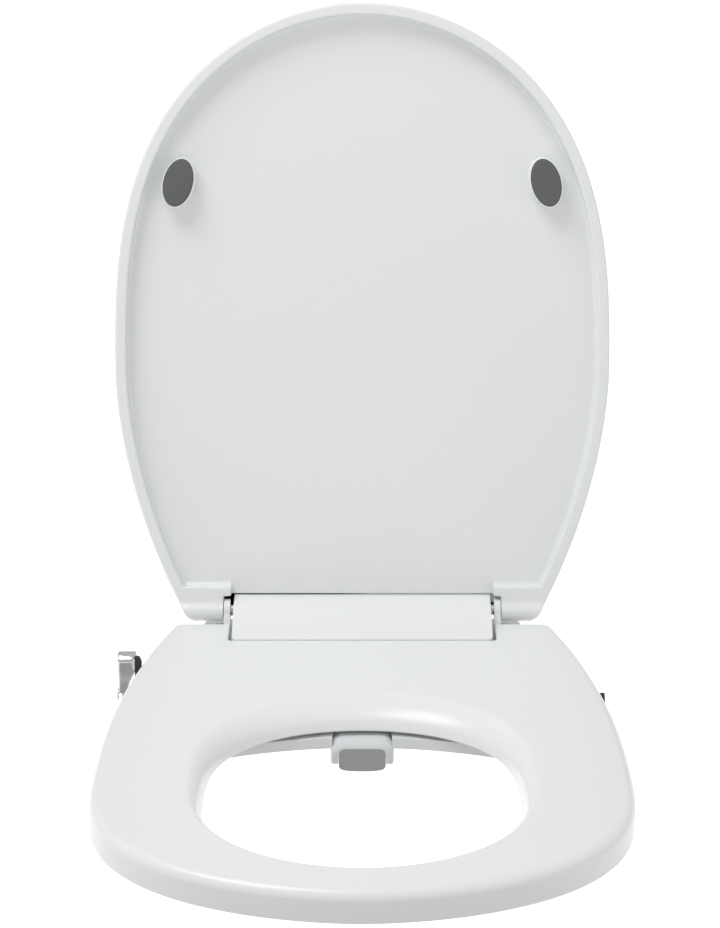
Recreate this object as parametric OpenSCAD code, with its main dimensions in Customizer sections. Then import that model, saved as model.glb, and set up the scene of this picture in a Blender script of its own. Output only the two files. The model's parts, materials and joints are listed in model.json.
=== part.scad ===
// Bidet seat: a soft-close seat ring and lid on a slim water-powered bidet base.
// X runs to the side, Y to the rear, Z up; the origin lies on the bowl rim plane
// midway between the two bowl bolts. The lid is drawn open, the seat down.

/* [Seat ring] */
// Half of the seat's greatest width
seat_half_w = 182.5; // [170:0.5:195]
// Distance from the bolt line forward to the seat's widest line
seat_wide_at = 252; // [230:1:270]
// Length of the front bow, from the widest line to the front edge
seat_bow = 180; // [165:1:195]
// Length of the rear bow that the rear edge cuts off
seat_tail = 445; // [420:1:470]
// Height of the seat's top above the bowl rim
seat_top = 28; // [26:0.5:31]
// Height of the seat's skirt edge above the bowl rim
seat_skirt = 6; // [5:0.5:8]
// Wall of the seat shell
seat_wall = 3.5; // [2.5:0.25:4]
// Radius of the seat's outer top edge
seat_round = 7; // [4:0.5:9]
// Half of the opening's width at its lower edge
opening_half_w = 107.5; // [98:0.5:112]
// Half of the opening's length at its lower edge
opening_half_len = 124; // [114:1:128]
// Distance from the bolt line forward to the opening's middle
opening_mid = 270; // [262:1:276]
// Width of the scooped edge at the sides of the opening
scoop_side = 10.5; // [7:0.5:13]
// Width of the scooped edge at the rear of the opening
scoop_rear = 29; // [22:1:31]
// Width of the rounded edge at the front of the opening
scoop_front = 5; // [4:0.5:7]

/* [Lid] */
// Half of the lid's greatest width
lid_half_w = 190.5; // [180:0.5:200]
// Distance from the hinge axis to the lid's widest line
lid_wide_at = 188.7; // [180:0.1:196]
// Length of the lid's front bow
lid_bow = 278.4; // [266:0.1:285]
// Length of the lid's rear bow that the hinge edge cuts off
lid_tail = 323.7; // [310:0.1:340]
// Width of the lid's flat rim
rim_w = 8.5; // [6:0.5:10]
// Depth of the recess inside the rim
lid_recess = 12; // [11.5:0.25:14]
// Thickness of the lid's panel
lid_panel = 3; // [2.5:0.25:4]
// Gap between the seat's top and the closed lid's rim
lid_gap = 2; // [1.5:0.25:3]
// How far the open lid leans back past upright, in degrees
lid_lean = 11; // [5:1:14]
// Half width and half height of a lid bumper
bumper_half = [12.2, 19.4]; // [5:0.1:25]
// Where a lid bumper sits: to the side, and out from the hinge axis
bumper_at = [140.5, 331.4]; // [100:1:340]
// Tilt of a lid bumper, in degrees
bumper_tilt = 14.5; // [0:0.5:20]

/* [Hinge] */
// Distance from the bolt line back to the hinge axis
hinge_y = 26; // [24:0.5:28]
// Height of the hinge axis above the bowl rim
hinge_z = 35; // [34:0.5:37]
// Radius of the hinge pin
pin_r = 4; // [3:0.25:4.5]
// Radial clearance of a turning fit
run_gap = 0.05; // [0.02:0.01:0.09]
// Radius of the lid's hinge knuckle
knuckle_r = 9; // [8:0.25:9.5]
// Radius of the seat's hinge lug
lug_r = 8.5; // [7.5:0.25:9]
// Thickness of the seat's hinge lug
lug_w = 4.9; // [4:0.1:5]
// Half width of the hinge cover
cover_half_w = 100; // [92:0.5:100.5]
// Distance from the bolt line forward to the hinge cover's front edge
cover_front = 20; // [18:0.5:20]
// Distance from the bolt line back to the hinge cover's highest line
cover_crest = 38; // [37:0.5:39]
// Distance from the bolt line back to the hinge cover's rear face
cover_rear = 46; // [45:0.5:48]
// Height of the hinge cover's front edge above the bowl rim
cover_low = 28.6; // [28.2:0.1:29]
// Rise of the hinge cover from its front edge to its highest line
cover_rise = 15.4; // [15.2:0.1:15.8]
// Wall of the hinge cover
cover_wall = 2; // [1.5:0.1:2.2]
// Gap between the hinge cover and the seat's notch at the sides
notch_gap = 2.8; // [2:0.1:3.5]
// Radius of a soft-close damper
damper_r = 6; // [5:0.25:6.25]

/* [Base] */
// Half width of the base's housing
base_half_w = 124; // [120:0.5:127]
// Distance from the bolt line forward to the housing's front wall
base_front = 105; // [98:1:106]
// Distance from the bolt line back to the housing's rear wall
base_rear = 44; // [43:0.5:45]
// Height of the housing's underside above the bowl rim
base_lift = 1; // [0.6:0.1:1.4]
// Height of the joint between the base's two shells
base_split = 18; // [16:0.5:18.5]
// Wall of the base's shells
base_wall = 2.2; // [1.6:0.1:2.6]
// Distance from the bolt line forward to the middle of the front lip
lip_front = 150.6; // [147:0.2:152]
// Radius of the front lip's curve
lip_curve = 269; // [240:1:300]
// How far the front lip hangs below the bowl rim
lip_drop = 3; // [1:0.25:4]
// Spacing of the two bowl bolts
bolt_spacing = 145; // [135:1:160]
// Length of each bolt slot, end to end
slot_len = 34; // [24:1:40]
// Half width of each bolt slot
slot_r = 4.25; // [3.5:0.05:5]

/* [Nozzles] */
// Slope of the nozzles, in degrees
nozzle_slope = 12; // [10:0.5:13]
// Depth of the nozzle axis below the rim plane, at the guard
nozzle_drop = 14; // [13:0.25:14.5]
// Distance of each nozzle from the middle
nozzle_side = 7.5; // [7:0.25:8]
// Radius of a nozzle tube
nozzle_r = 4.2; // [3.8:0.1:4.4]
// Length of a nozzle tube
nozzle_len = 81; // [79:1:82]
// How far the nozzles slide out
nozzle_travel = 50; // [46:1:50]
// Distance from the retracted nozzle tip forward to the guard
nozzle_rest = 26; // [25:0.5:27]
// Distance from the bolt line forward to the guard's front face
guard_at = 155; // [153:0.5:157]
// Half width of the nozzle guard
guard_half_w = 17; // [15:0.5:18]
// Height of the nozzle guard
guard_h = 18; // [17:0.5:19]
// Thickness of the nozzle guard
guard_t = 2; // [1.6:0.1:2.4]

/* [Lever and water inlet] */
// Distance from the bolt line forward to the lever's axis
lever_at = 45; // [42:0.5:48]
// Depth of the lever's axis below the bowl rim
lever_drop = 6; // [5:0.5:8]
// Length of the lever from its axis to its top
lever_len = 33.5; // [30:0.5:34]
// Width of the lever's paddle at its top
paddle_w = 14; // [13:0.5:15]
// Distance from the middle to the lever's outer face
lever_out = 184.5; // [184:0.5:188]
// Radius of the valve spindle
spindle_r = 4; // [3:0.25:5]
// Radius of the valve body
valve_r = 8.4; // [7.8:0.1:8.4]
// Outer radius of the inlet's thread
inlet_r = 8.33; // [7:0.01:10.5]
// Length of the inlet's threaded end
inlet_thread = 14; // [10:0.5:18]
// Depth of the inlet's axis below the bowl rim
inlet_drop = 14; // [12:0.5:16]
// Radius of the supply hose
hose_r = 1.9; // [1.5:0.1:2.1]
// Radius of the two wash hoses
wash_hose_r = 1.2; // [1:0.1:1.4]

/* [Hidden] */
$fn = 64;
// A small overlap that lets a cut run past a face
cut = 1;
// Half of the number of points round the seat's and the lid's outlines
bow_pts = 26;
// Height of the closed lid's rim edge
rim_z = seat_top + lid_gap;
// Outer thickness of the lid
lid_t = lid_recess + lid_panel;
// Distance from the hinge axis to the straight rear edge of the lid's panel
lid_cut = 11.8;
// Half width of the notch that the seat leaves for the hinge cover
notch_half_w = cover_half_w + notch_gap;
// Front edge of that notch
notch_y = -cover_front - 0.8;
// Rear edge of the seat's arms, clear of the lid's knuckles
arm_rear = hinge_y - knuckle_r - 3.5;
// Inner and outer sides of the lid's knuckles
knuckle_in = notch_half_w + lug_w + 0.6;
knuckle_out = 133.5;
// The lever's and the inlet's axes
lever_y = -lever_at;
lever_z = -lever_drop;
inlet_z = -inlet_drop;
// Outer and inner sides of the two side housings
side_out = 165;
side_in = 139;
// The nozzle's direction, and the point where its axis meets the guard
slide_dir = [0, -cos(nozzle_slope), -sin(nozzle_slope)];
nozzle_exit = [0, -guard_at, -nozzle_drop];
nozzle_tip_at = nozzle_exit - slide_dir * nozzle_rest;
// The guard's pin
guard_pin_z = -5;
guard_pin_y = -guard_at + guard_t / 2;
guard_pin_r = 0.8;

// ---- Outlines and helpers ----

// A point of a bow-shaped outline: angle 0 is the front, 90 the widest line, 180 the rear.
// Each half is a superellipse: |x/a|^n + |y/b|^m = 1.
function bow(t, a, front, rear, nf, mf, nr, mr) =
  cos(t) >= 0
  ? [a * pow(sin(t), 2 / nf), -front * pow(cos(t), 2 / mf)]
  : [a * pow(sin(t), 2 / nr), rear * pow(-cos(t), 2 / mr)];
function seat_bow_at(t) =
  bow(t, seat_half_w, seat_bow, seat_tail, 1.85, 3, 1.6, 2.25) - [0, seat_wide_at];
function lid_bow_at(t) =
  bow(t, lid_half_w, lid_bow, lid_tail, 1.95, 2.78, 1.6, 1.73) - [0, lid_wide_at];
function opening_low(t) =
  bow(t, opening_half_w, opening_half_len, opening_half_len, 2, 2.3, 2, 2.9)
  - [0, opening_mid];
function opening_high(t) =
  bow(t, opening_half_w + scoop_side, opening_half_len + scoop_front,
    opening_half_len + scoop_rear, 2, 2.3, 2, 2.9) - [0, opening_mid];

// The angle at which a rear bow crosses a given distance behind its widest line
function bow_angle(y, rear, mr) = 180 - acos(pow(y / rear, mr / 2));
seat_end = bow_angle(seat_wide_at + arm_rear - 6, seat_tail, 2.25);
lid_end = bow_angle(lid_wide_at - lid_cut, lid_tail, 1.73);

function lerp(a, b, u) = a + (b - a) * u;
function mirrored(half) =
  concat(half, [for (i = [len(half) - 2:-1:1]) [-half[i][0], half[i][1]]]);

// Each entry: a point of the seat's outer outline, and the angle of its opening point
corner_x = seat_bow_at(seat_end)[0];
seat_pairs = concat(
  [for (i = [0:bow_pts]) [seat_bow_at(seat_end * i / bow_pts), 112 * i / bow_pts]],
  [[[corner_x - 2.5, arm_rear - 1.8], 113], [[corner_x - 7, arm_rear], 114]],
  [for (i = [1:4]) [[lerp(corner_x - 7, notch_half_w, i / 4), arm_rear], 114 + i]],
  [[[notch_half_w, notch_y], 120]],
  [for (i = [1:9]) [[notch_half_w * (1 - i / 9), notch_y], lerp(120, 180, i / 9)]]);
seat_outline = mirrored([for (p = seat_pairs) p[0]]);
opening_angles = concat([for (p = seat_pairs) p[1]],
  [for (i = [len(seat_pairs) - 2:-1:1]) -seat_pairs[i][1]]);
function side_of(t, p) = t < 0 ? [-p[0], p[1]] : p;
low_ring = [for (t = opening_angles) side_of(t, opening_low(abs(t)))];
high_ring = [for (t = opening_angles) side_of(t, opening_high(abs(t)))];

// An outline moved inwards by d, square to its edges
function unit(v) = v / norm(v);
function left_of(v) = [-v[1], v[0]];
function moved_in(pts, d) =
  let (n = len(pts))
  [for (i = [0:n - 1])
    let (a = left_of(unit(pts[i] - pts[(i + n - 1) % n])),
         b = left_of(unit(pts[(i + 1) % n] - pts[i])),
         m = unit(a + b))
    pts[i] + m * d / max(m * a, 0.5)];
function raised(pts, z) = [for (p = pts) [p[0], p[1], z]];
function between(a, b, u) = [for (i = [0:len(a) - 1]) lerp(a[i], b[i], u)];

// A solid from a list of rings of points; the last ring joins the first one
module closed_loft(rings) {
  n = len(rings[0]);
  m = len(rings);
  polyhedron(
    points = [for (r = rings) for (p = r) p],
    faces = [for (k = [0:m - 1]) for (i = [0:n - 1])
      let (k2 = (k + 1) % m, i2 = (i + 1) % n)
      each [[k * n + i, k2 * n + i, k2 * n + i2], [k * n + i, k2 * n + i2, k * n + i2]]],
    convexity = 6);
}

// A solid from a list of rings of points, closed by flat caps
module capped_loft(rings) {
  n = len(rings[0]);
  m = len(rings);
  polyhedron(
    points = [for (r = rings) for (p = r) p],
    faces = concat(
      [for (k = [0:m - 2]) for (i = [0:n - 1])
        let (i2 = (i + 1) % n)
        each [[k * n + i, (k + 1) * n + i, (k + 1) * n + i2],
              [k * n + i, (k + 1) * n + i2, k * n + i2]]],
      [[for (i = [0:n - 1]) i]],
      [[for (i = [n - 1:-1:0]) (m - 1) * n + i]]),
    convexity = 6);
}

// A round tube swept along a list of points
module hose(pts, r, sides = 10) {
  n = len(pts);
  capped_loft([for (k = [0:n - 1])
    let (t = unit(pts[min(k + 1, n - 1)] - pts[max(k - 1, 0)]),
         u = unit(cross(t, [0, 0, 1])),
         v = cross(t, u))
    [for (i = [0:sides - 1])
      pts[k] + r * (cos(360 * i / sides) * u + sin(360 * i / sides) * v)]]);
}
// Points on a smooth curve through the given ones
function curve_at(p, k, u) =
  let (n = len(p), a = p[max(k - 1, 0)], b = p[k], c = p[k + 1], d = p[min(k + 2, n - 1)])
  0.5 * (2 * b + (c - a) * u + (2 * a - 5 * b + 4 * c - d) * u * u
    + (3 * b - a - 3 * c + d) * u * u * u);
function smooth(p, steps) =
  concat([for (k = [0:len(p) - 2]) for (i = [0:steps - 1]) curve_at(p, k, i / steps)],
    [p[len(p) - 1]]);

// A profile drawn in Y and Z, carried along X
module along_x(x0, x1) {
  translate([x0, 0, 0])
    rotate([90, 0, 90])
      linear_extrude(x1 - x0)
        children();
}
module rod_x(x0, x1, r) {
  translate([x0, 0, 0])
    rotate([0, 90, 0])
      cylinder(r = r, h = x1 - x0);
}
module at_hinge() {
  translate([0, hinge_y, hinge_z])
    children();
}
// The lid is drawn closed about the hinge axis, then opened
module opened() {
  at_hinge()
    rotate([-90 - lid_lean, 0, 0])
      children();
}
module both_sides() {
  for (s = [0, 1])
    mirror([s, 0, 0])
      children();
}
module rounded_box(lo, hi, r) {
  translate([lo[0], lo[1], lo[2]])
    linear_extrude(hi[2] - lo[2])
      rounded_rect([hi[0] - lo[0], hi[1] - lo[1]], r);
}
module rounded_rect(size, r) {
  union() {
    translate([r, 0])
      square([size[0] - 2 * r, size[1]]);
    translate([0, r])
      square([size[0], size[1] - 2 * r]);
    for (x = [r, size[0] - r], y = [r, size[1] - r])
      translate([x, y])
        circle(r);
  }
}
// The frame of a nozzle: its tip at the origin, its axis along +Z towards the rear
module nozzle_frame(side) {
  translate(nozzle_tip_at + [side, 0, 0])
    rotate([-90 + nozzle_slope, 0, 0])
      children();
}

// ---- Base ----

plate_half_w = 98;
plate_half_y = 27;
plate_t = 3;
channel_half_w = 21.5;
channel_rear = 41;
boss_at = [[112, 34], [112, -92], [60, -94]];
pad_at = [[108, 16], [108, -70]];
pad_r = 8;

// The plan of the front lip between two distances behind its front curve
module lip_plan(back) {
  half = 97;
  steps = 16;
  arc = [for (i = [0:steps])
    let (x = lerp(-half, half, i / steps))
    [x, -lip_front - lip_curve + sqrt(lip_curve * lip_curve - x * x)]];
  polygon(concat(arc, [[half + 6, -lip_front + back], [-half - 6, -lip_front + back]]));
}

module base_lower_shell() color([0.9, 0.9, 0.9]) {
  difference() {
    union() {
      rounded_box([-base_half_w, -base_front, base_lift],
        [base_half_w, base_rear, base_split], 10);
      // arms to the two side housings, under the seat's skirt
      for (x = [-side_in, base_half_w - 4], y = [lever_y - 16, lever_y + 8])
        translate([x, y, base_lift])
          cube([side_in - base_half_w + 4, 8, seat_skirt - 2 * base_lift]);
      translate([0, 0, base_lift])
        linear_extrude(seat_skirt - base_lift - 0.8)
          lip_plan(lip_front - base_front + 12);
      translate([0, 0, -lip_drop])
        linear_extrude(lip_drop + base_lift + 0.5)
          intersection() {
            lip_plan(12);
            translate([-97, -200])
              square([194, 200]);
          }
    }
    // the hollow, and the higher floor above the mounting plate
    difference() {
      translate([0, 0, base_lift + base_wall])
        rounded_box([-base_half_w + base_wall, -base_front + base_wall, 0],
          [base_half_w - base_wall, base_rear - base_wall, base_split], 8);
      translate([-plate_half_w - base_wall, -plate_half_y - base_wall, 0])
        cube([2 * (plate_half_w + base_wall), 2 * (plate_half_y + base_wall), 11.5]);
      for (p = boss_at, s = [-1, 1])
        translate([s * p[0], p[1], 0])
          cylinder(r = 4, h = base_split);
      // the rib behind the release button's spring
      translate([base_half_w - 18.5, button_y, 0])
        cube([2.5, 12, 14]);
    }
    // the recess that slides over the mounting plate and its bolt heads
    translate([-plate_half_w - 0.4, -plate_half_y - 0.4, -cut])
      cube([2 * plate_half_w + 0.8, 2 * plate_half_y + 0.8, cut + plate_t + 0.5]);
    translate([-plate_half_w + 4, -14, 0])
      cube([2 * plate_half_w - 8, 28, 9.3]);
    for (p = boss_at, s = [-1, 1])
      translate([s * p[0], p[1], -cut])
        cylinder(r = 1.6, h = base_split + 2 * cut);
    for (p = boss_at, s = [-1, 1])
      translate([s * p[0], p[1], -cut])
        cylinder(r = 3.4, h = cut + base_lift + 2);
    for (p = pad_at, s = [-1, 1])
      translate([s * p[0], p[1], -cut])
        cylinder(r = pad_r + 0.1, h = cut + base_lift + 1.2);
    // the nozzle channel, and the ways in for the hoses
    translate([-channel_half_w, -lip_front - 12, -lip_drop - cut])
      cube([2 * channel_half_w, lip_front + 12 - channel_rear, 40]);
    for (x = [-base_half_w - cut, base_half_w - base_wall - cut])
      translate([x, lever_y - 8, base_lift + base_wall])
        cube([base_wall + 2 * cut, 16, 8]);
    // the slot for the release button
    translate([base_half_w - 6, button_y - 0.5, 7.5])
      cube([12, 13, 7]);
  }
}

module base_upper_shell() color([0.92, 0.92, 0.93]) {
  difference() {
    union() {
      rounded_box([-base_half_w, -base_front, base_split],
        [base_half_w, base_rear, base_split + base_wall], 10);
      for (p = boss_at, s = [-1, 1])
        translate([s * p[0], p[1], base_split + base_wall / 2])
          cylinder(r = 3.2, h = base_wall);
    }
    // the window under the hinge cover
    translate([-cover_half_w + 6, -cover_front + 7, 0])
      cube([2 * cover_half_w - 12, base_rear + cover_front - 13, 40]);
    for (p = boss_at, s = [-1, 1])
      translate([s * p[0], p[1], base_split - cut])
        cylinder(r = 1.5, h = cut + base_wall);
  }
}

// The hinge cover's top line: a gentle arch from the front edge to the highest line
function cover_z(y) =
  cover_low + cover_rise * (1 - pow(abs(cover_crest - y) / (cover_crest + cover_front), 1.8));
module cover_profile(inset, floor_z) {
  steps = 14;
  arch = [for (i = [0:steps])
    let (y = lerp(-cover_front + inset, cover_crest, i / steps))
    [y, cover_z(y) - inset]];
  polygon(concat(
    [[-cover_front + inset, floor_z]],
    arch,
    [[cover_rear - 3 - inset / 2, cover_z(cover_crest) - 2 - inset],
     [cover_rear - inset, cover_z(cover_crest) - 7 - inset],
     [cover_rear - inset, floor_z]]));
}
module hinge_cover() color([0.95, 0.95, 0.95]) {
  cover_foot = base_split + base_wall;
  difference() {
    intersection() {
      along_x(-cover_half_w, cover_half_w)
        cover_profile(0, cover_foot);
      rounded_box([-cover_half_w, -cover_front, 0], [cover_half_w, cover_rear, 60], 4);
    }
    along_x(-cover_half_w + cover_wall, cover_half_w - cover_wall)
      cover_profile(cover_wall, cover_foot - cut);
    at_hinge()
      rod_x(-cover_half_w - cut, cover_half_w + cut, pin_r + 0.4);
  }
}

module mounting_plate() color([0.75, 0.76, 0.77]) {
  difference() {
    rounded_box([-plate_half_w, -plate_half_y, 0], [plate_half_w, plate_half_y, plate_t], 6);
    for (s = [-1, 1])
      translate([s * bolt_spacing / 2, 0, -cut])
        linear_extrude(plate_t + 2 * cut)
          union() {
            square([slot_len - 2 * slot_r, 2 * slot_r], center = true);
            for (e = [-1, 1])
              translate([e * (slot_len / 2 - slot_r), 0])
                circle(slot_r);
          }
  }
}

module base_pads() color([0.25, 0.25, 0.26]) {
  for (p = pad_at, s = [-1, 1])
    translate([s * p[0], p[1], 0])
      cylinder(r = pad_r, h = base_lift + 1.2);
}

module shell_screws() color([0.6, 0.61, 0.62]) {
  for (p = boss_at, s = [-1, 1])
    translate([s * p[0], p[1], base_lift]) {
      cylinder(r = 3.2, h = 2);
      cylinder(r = 1.48, h = base_split - base_lift + 1);
    }
}

// ---- Water parts of the base ----

hood_half_w = 21;
hood_rear = -120;
hood_front = -guard_at + guard_t + 0.5;
module hood_plan(inset) {
  r = 9 - inset;
  w = hood_half_w - inset;
  polygon(concat(
    [[-w, -17.5 + inset], [w, -17.5 + inset]],
    [for (a = [0:15:90]) [w - r + r * cos(a), 5 - inset - r + r * sin(a)]],
    [for (a = [90:15:180]) [-w + r + r * cos(a), 5 - inset - r + r * sin(a)]]));
}
module hood_body(inset, y0, y1) {
  translate([0, y1, 0])
    rotate([90, 0, 0])
      linear_extrude(y1 - y0)
        hood_plan(inset);
}
module nozzle_hood() color([0.84, 0.85, 0.86]) {
  difference() {
    hood_body(0, hood_front, hood_rear);
    hood_body(2, hood_front - cut, hood_rear + cut);
    // open underneath, so that the nozzles drain
    translate([-hood_half_w + 2, hood_front - cut, -30])
      cube([2 * hood_half_w - 4, hood_rear - hood_front + 2 * cut, 20]);
    // notches for the guard's pin
    translate([0, guard_pin_y, guard_pin_z])
      rod_x(-hood_half_w - cut, hood_half_w + cut, guard_pin_r + 1.1);
  }
  // two lugs that carry the guard's pin
  both_sides()
    difference() {
      translate([hood_half_w - 2.6, hood_front - 3.6, guard_pin_z - 3])
        cube([2.6, 4.6, 6]);
      translate([0, guard_pin_y, guard_pin_z])
        rod_x(0, hood_half_w + cut, guard_pin_r);
    }
}

// Each cylinder runs from behind the retracted tip to the rear of its tube
cyl_start = 14;
cyl_len = nozzle_len + 6 - cyl_start;
cyl_bore = 5.6;
cyl_r = 6.8;
module nozzle_cylinders() color([0.8, 0.81, 0.82]) {
  difference() {
    union() {
      for (s = [-1, 1])
        nozzle_frame(s * nozzle_side)
          translate([0, 0, cyl_start])
            cylinder(r = cyl_r, h = cyl_len);
    }
    for (s = [-1, 1])
      nozzle_frame(s * nozzle_side) {
        translate([0, 0, cyl_start + 5])
          cylinder(r = cyl_bore, h = cyl_len - 9);
        translate([0, 0, cyl_start - cut])
          cylinder(r = nozzle_r + run_gap, h = 10);
        // the water port in the rear end
        translate([0, 0, cyl_start + cyl_len - 10])
          cylinder(r = 1.6, h = 20);
      }
  }
}

flange_w = 2.4;
flange_gap = 0.07;
valve_gap = 0.2;
module side_shell(s, bore_y, bore_z, bore_r) {
  lo_z = inlet_z - inlet_r - flange_w - flange_gap - base_wall;
  hi_z = lever_z + valve_r + valve_gap + base_wall;
  difference() {
    translate([s > 0 ? side_in : -side_out, 0, 0])
      rounded_box([0, lever_y - 19, lo_z], [side_out - side_in, lever_y + 19, hi_z], 7);
    translate([s > 0 ? side_in + base_wall : -side_out + base_wall, 0, 0])
      rounded_box([0, lever_y - 19 + base_wall, lo_z + base_wall],
        [side_out - side_in - 2 * base_wall, lever_y + 19 - base_wall, hi_z - base_wall], 5);
    translate([s > 0 ? side_out - 4 : -side_out - 4, bore_y, bore_z])
      rod_x(0, 8, bore_r);
    // the way in for the hoses
    translate([s > 0 ? side_in - cut : -side_in - base_wall - cut, lever_y - 7, -12])
      cube([base_wall + 2 * cut, 14, 12]);
  }
}
module valve_housing() color([0.93, 0.93, 0.93]) {
  side_shell(-1, lever_y, lever_z, valve_r - 3);
}
module inlet_housing() color([0.93, 0.93, 0.93]) {
  side_shell(1, lever_y, inlet_z, inlet_r + 0.4);
}

valve_in = 142;
valve_out = side_out - base_wall - 0.3;
module valve_body() color([0.55, 0.56, 0.58]) {
  translate([0, lever_y, lever_z])
    difference() {
      union() {
        rod_x(-valve_out, -valve_in, valve_r);
        rod_x(-side_out - 1, -valve_out, valve_r - 3.4);
      }
      rod_x(-side_out - 2, -valve_in - 3, spindle_r + run_gap);
    }
}
module valve_collar() color([0.9, 0.9, 0.9]) {
  translate([0, lever_y, lever_z])
    difference() {
      rod_x(-side_out - 3.2, -side_out - 1, valve_r - 2);
      rod_x(-side_out - 4, -side_out, spindle_r + 0.4);
    }
}

inlet_end = 184;
module inlet_fitting() color([0.1, 0.1, 0.1]) {
  translate([0, lever_y, inlet_z])
    difference() {
      union() {
        rod_x(side_in + 5, side_out - base_wall - 0.3, inlet_r + flange_w);
        rod_x(side_out - base_wall - 0.4, inlet_end - inlet_thread, inlet_r - 1);
        rod_x(inlet_end - inlet_thread, inlet_end, inlet_r);
      }
      rod_x(side_in + 8, inlet_end + cut, inlet_r - 2.6);
    }
}
module inlet_washer() color([0.2, 0.2, 0.2]) {
  translate([0, lever_y, inlet_z])
    difference() {
      rod_x(side_in + 13.2, side_in + 15, inlet_r - 2.65);
      rod_x(side_in + 12, side_in + 16, 2.6);
    }
}
module inlet_filter() color([0.7, 0.7, 0.68]) {
  translate([0, lever_y, inlet_z])
    difference() {
      rod_x(side_in + 15.1, side_in + 24, inlet_r - 3.2);
      rod_x(side_in + 16.5, side_in + 25, inlet_r - 4.2);
    }
}

hose_z = base_lift + base_wall + hose_r + 0.4;
cyl_back = nozzle_tip_at - slide_dir * (cyl_start + cyl_len);
// The supply hose runs from the inlet across the base to the valve
supply_route = [[side_in + 4.8, lever_y, -7], [side_in + 1, lever_y, -5.5],
  [side_in - 8, lever_y, 1.5], [base_half_w - 1, lever_y, hose_z + 0.4],
  [105, lever_y, hose_z], [85, lever_y, hose_z], [50, -41, hose_z], [25, -38, hose_z],
  [0, -36, hose_z], [-25, -38, hose_z], [-50, -43, hose_z], [-80, -48, hose_z],
  [-105, -49, hose_z], [-base_half_w, -49, hose_z + 0.4], [-side_in + 7, -49, 1.5],
  [-side_in - 1, -49, -5.5], [-valve_in + 0.2, -49, -6.5]];
module supply_hose() color([0.85, 0.86, 0.9]) {
  hose(smooth(supply_route, 2), hose_r, 8);
}
// Each wash hose runs from the valve to the rear of its cylinder
function wash_route(s) = [
  [s * nozzle_side, cyl_back[1] + 1.6, cyl_back[2] + 0.3],
  [s * nozzle_side, cyl_back[1] + 3.6, cyl_back[2] + 0.7],
  [s * nozzle_side - 3, cyl_back[1] + 7.5, 12],
  [s * nozzle_side - 14, -33 + 2 * s, 12.5], [-45, -33 + 2 * s, 12.5],
  [-75, -36 + 2 * s, 12], [-100, -41 + 2 * s, 10], [-base_half_w + 1, -42 + 2 * s, 8.5],
  [-side_in + 7, -42 + 2 * s, 3], [-side_in - 1, -42 + 2 * s, -3.5],
  [-valve_in + 0.2, -42 + 2 * s, -4.5]];
module rear_wash_hose() color([0.85, 0.9, 0.86]) {
  hose(smooth(wash_route(-1), 2), wash_hose_r, 8);
}
module front_wash_hose() color([0.9, 0.87, 0.85]) {
  hose(smooth(wash_route(1), 2), wash_hose_r, 8);
}
// The points of the supply hose's route that a clip holds
clip_at = [4, 5, 12];
module hose_clips() color([0.7, 0.71, 0.72]) {
  floor_z = base_lift + base_wall;
  for (i = clip_at)
    translate(supply_route[i])
      difference() {
        union() {
          rod_x(-1.5, 1.5, hose_r + 1.3);
          translate([-1.5, -3, floor_z - hose_z])
            cube([3, 6, 1]);
        }
        rod_x(-2, 2, hose_r + 0.15);
        translate([-2, -9, floor_z - hose_z - 9])
          cube([4, 18, 9]);
      }
}

// ---- Hinges ----

damper_in = 62;
damper_out = cover_half_w - cover_wall - 1;
module damper(s) {
  at_hinge()
    difference() {
      union() {
        rod_x(s > 0 ? damper_in : -damper_out, s > 0 ? damper_out : -damper_in, damper_r);
        rod_x(s > 0 ? damper_in - 4 : -damper_in, s > 0 ? damper_in : 4 - damper_in,
          damper_r - 2);
      }
      rod_x(s > 0 ? damper_in + 14 : -damper_out - cut,
        s > 0 ? damper_out + cut : -damper_in - 14, pin_r);
    }
}
module damper_left() color([0.3, 0.31, 0.33]) {
  damper(-1);
}
module damper_right() color([0.3, 0.31, 0.33]) {
  damper(1);
}
module damper_brackets() color([0.7, 0.71, 0.72]) {
  foot = 11.5;
  both_sides()
    difference() {
      for (x = [damper_in + 3, damper_out - 9])
        translate([x, hinge_y - damper_r - 2.6, foot])
          cube([6, 2 * damper_r + 5.2, hinge_z + 2 - foot]);
      at_hinge()
        rod_x(damper_in, damper_out, damper_r);
    }
}
module hinge_pin(s) {
  at_hinge()
    rod_x(s > 0 ? damper_in + 14 : 2 - knuckle_out, s > 0 ? knuckle_out - 2 : -damper_in - 14,
      pin_r);
}
module hinge_pin_left() color([0.75, 0.76, 0.78]) {
  hinge_pin(-1);
}
module hinge_pin_right() color([0.75, 0.76, 0.78]) {
  hinge_pin(1);
}

// ---- Quick-release button ----

button_y = arm_rear + 0.5;
module release_button() color([0.6, 0.62, 0.64]) {
  translate([base_half_w - 3, button_y, 8])
    cube([7, 12, 6]);
  translate([base_half_w - 9, button_y + 1.5, 9])
    cube([6, 9, 4]);
}
module release_spring() color([0.7, 0.72, 0.74]) {
  translate([base_half_w - 16, button_y + 6, 11])
    difference() {
      rod_x(0, 7, 1.9);
      rod_x(-cut, 8, 1.2);
    }
}

// ---- Seat ----

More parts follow.
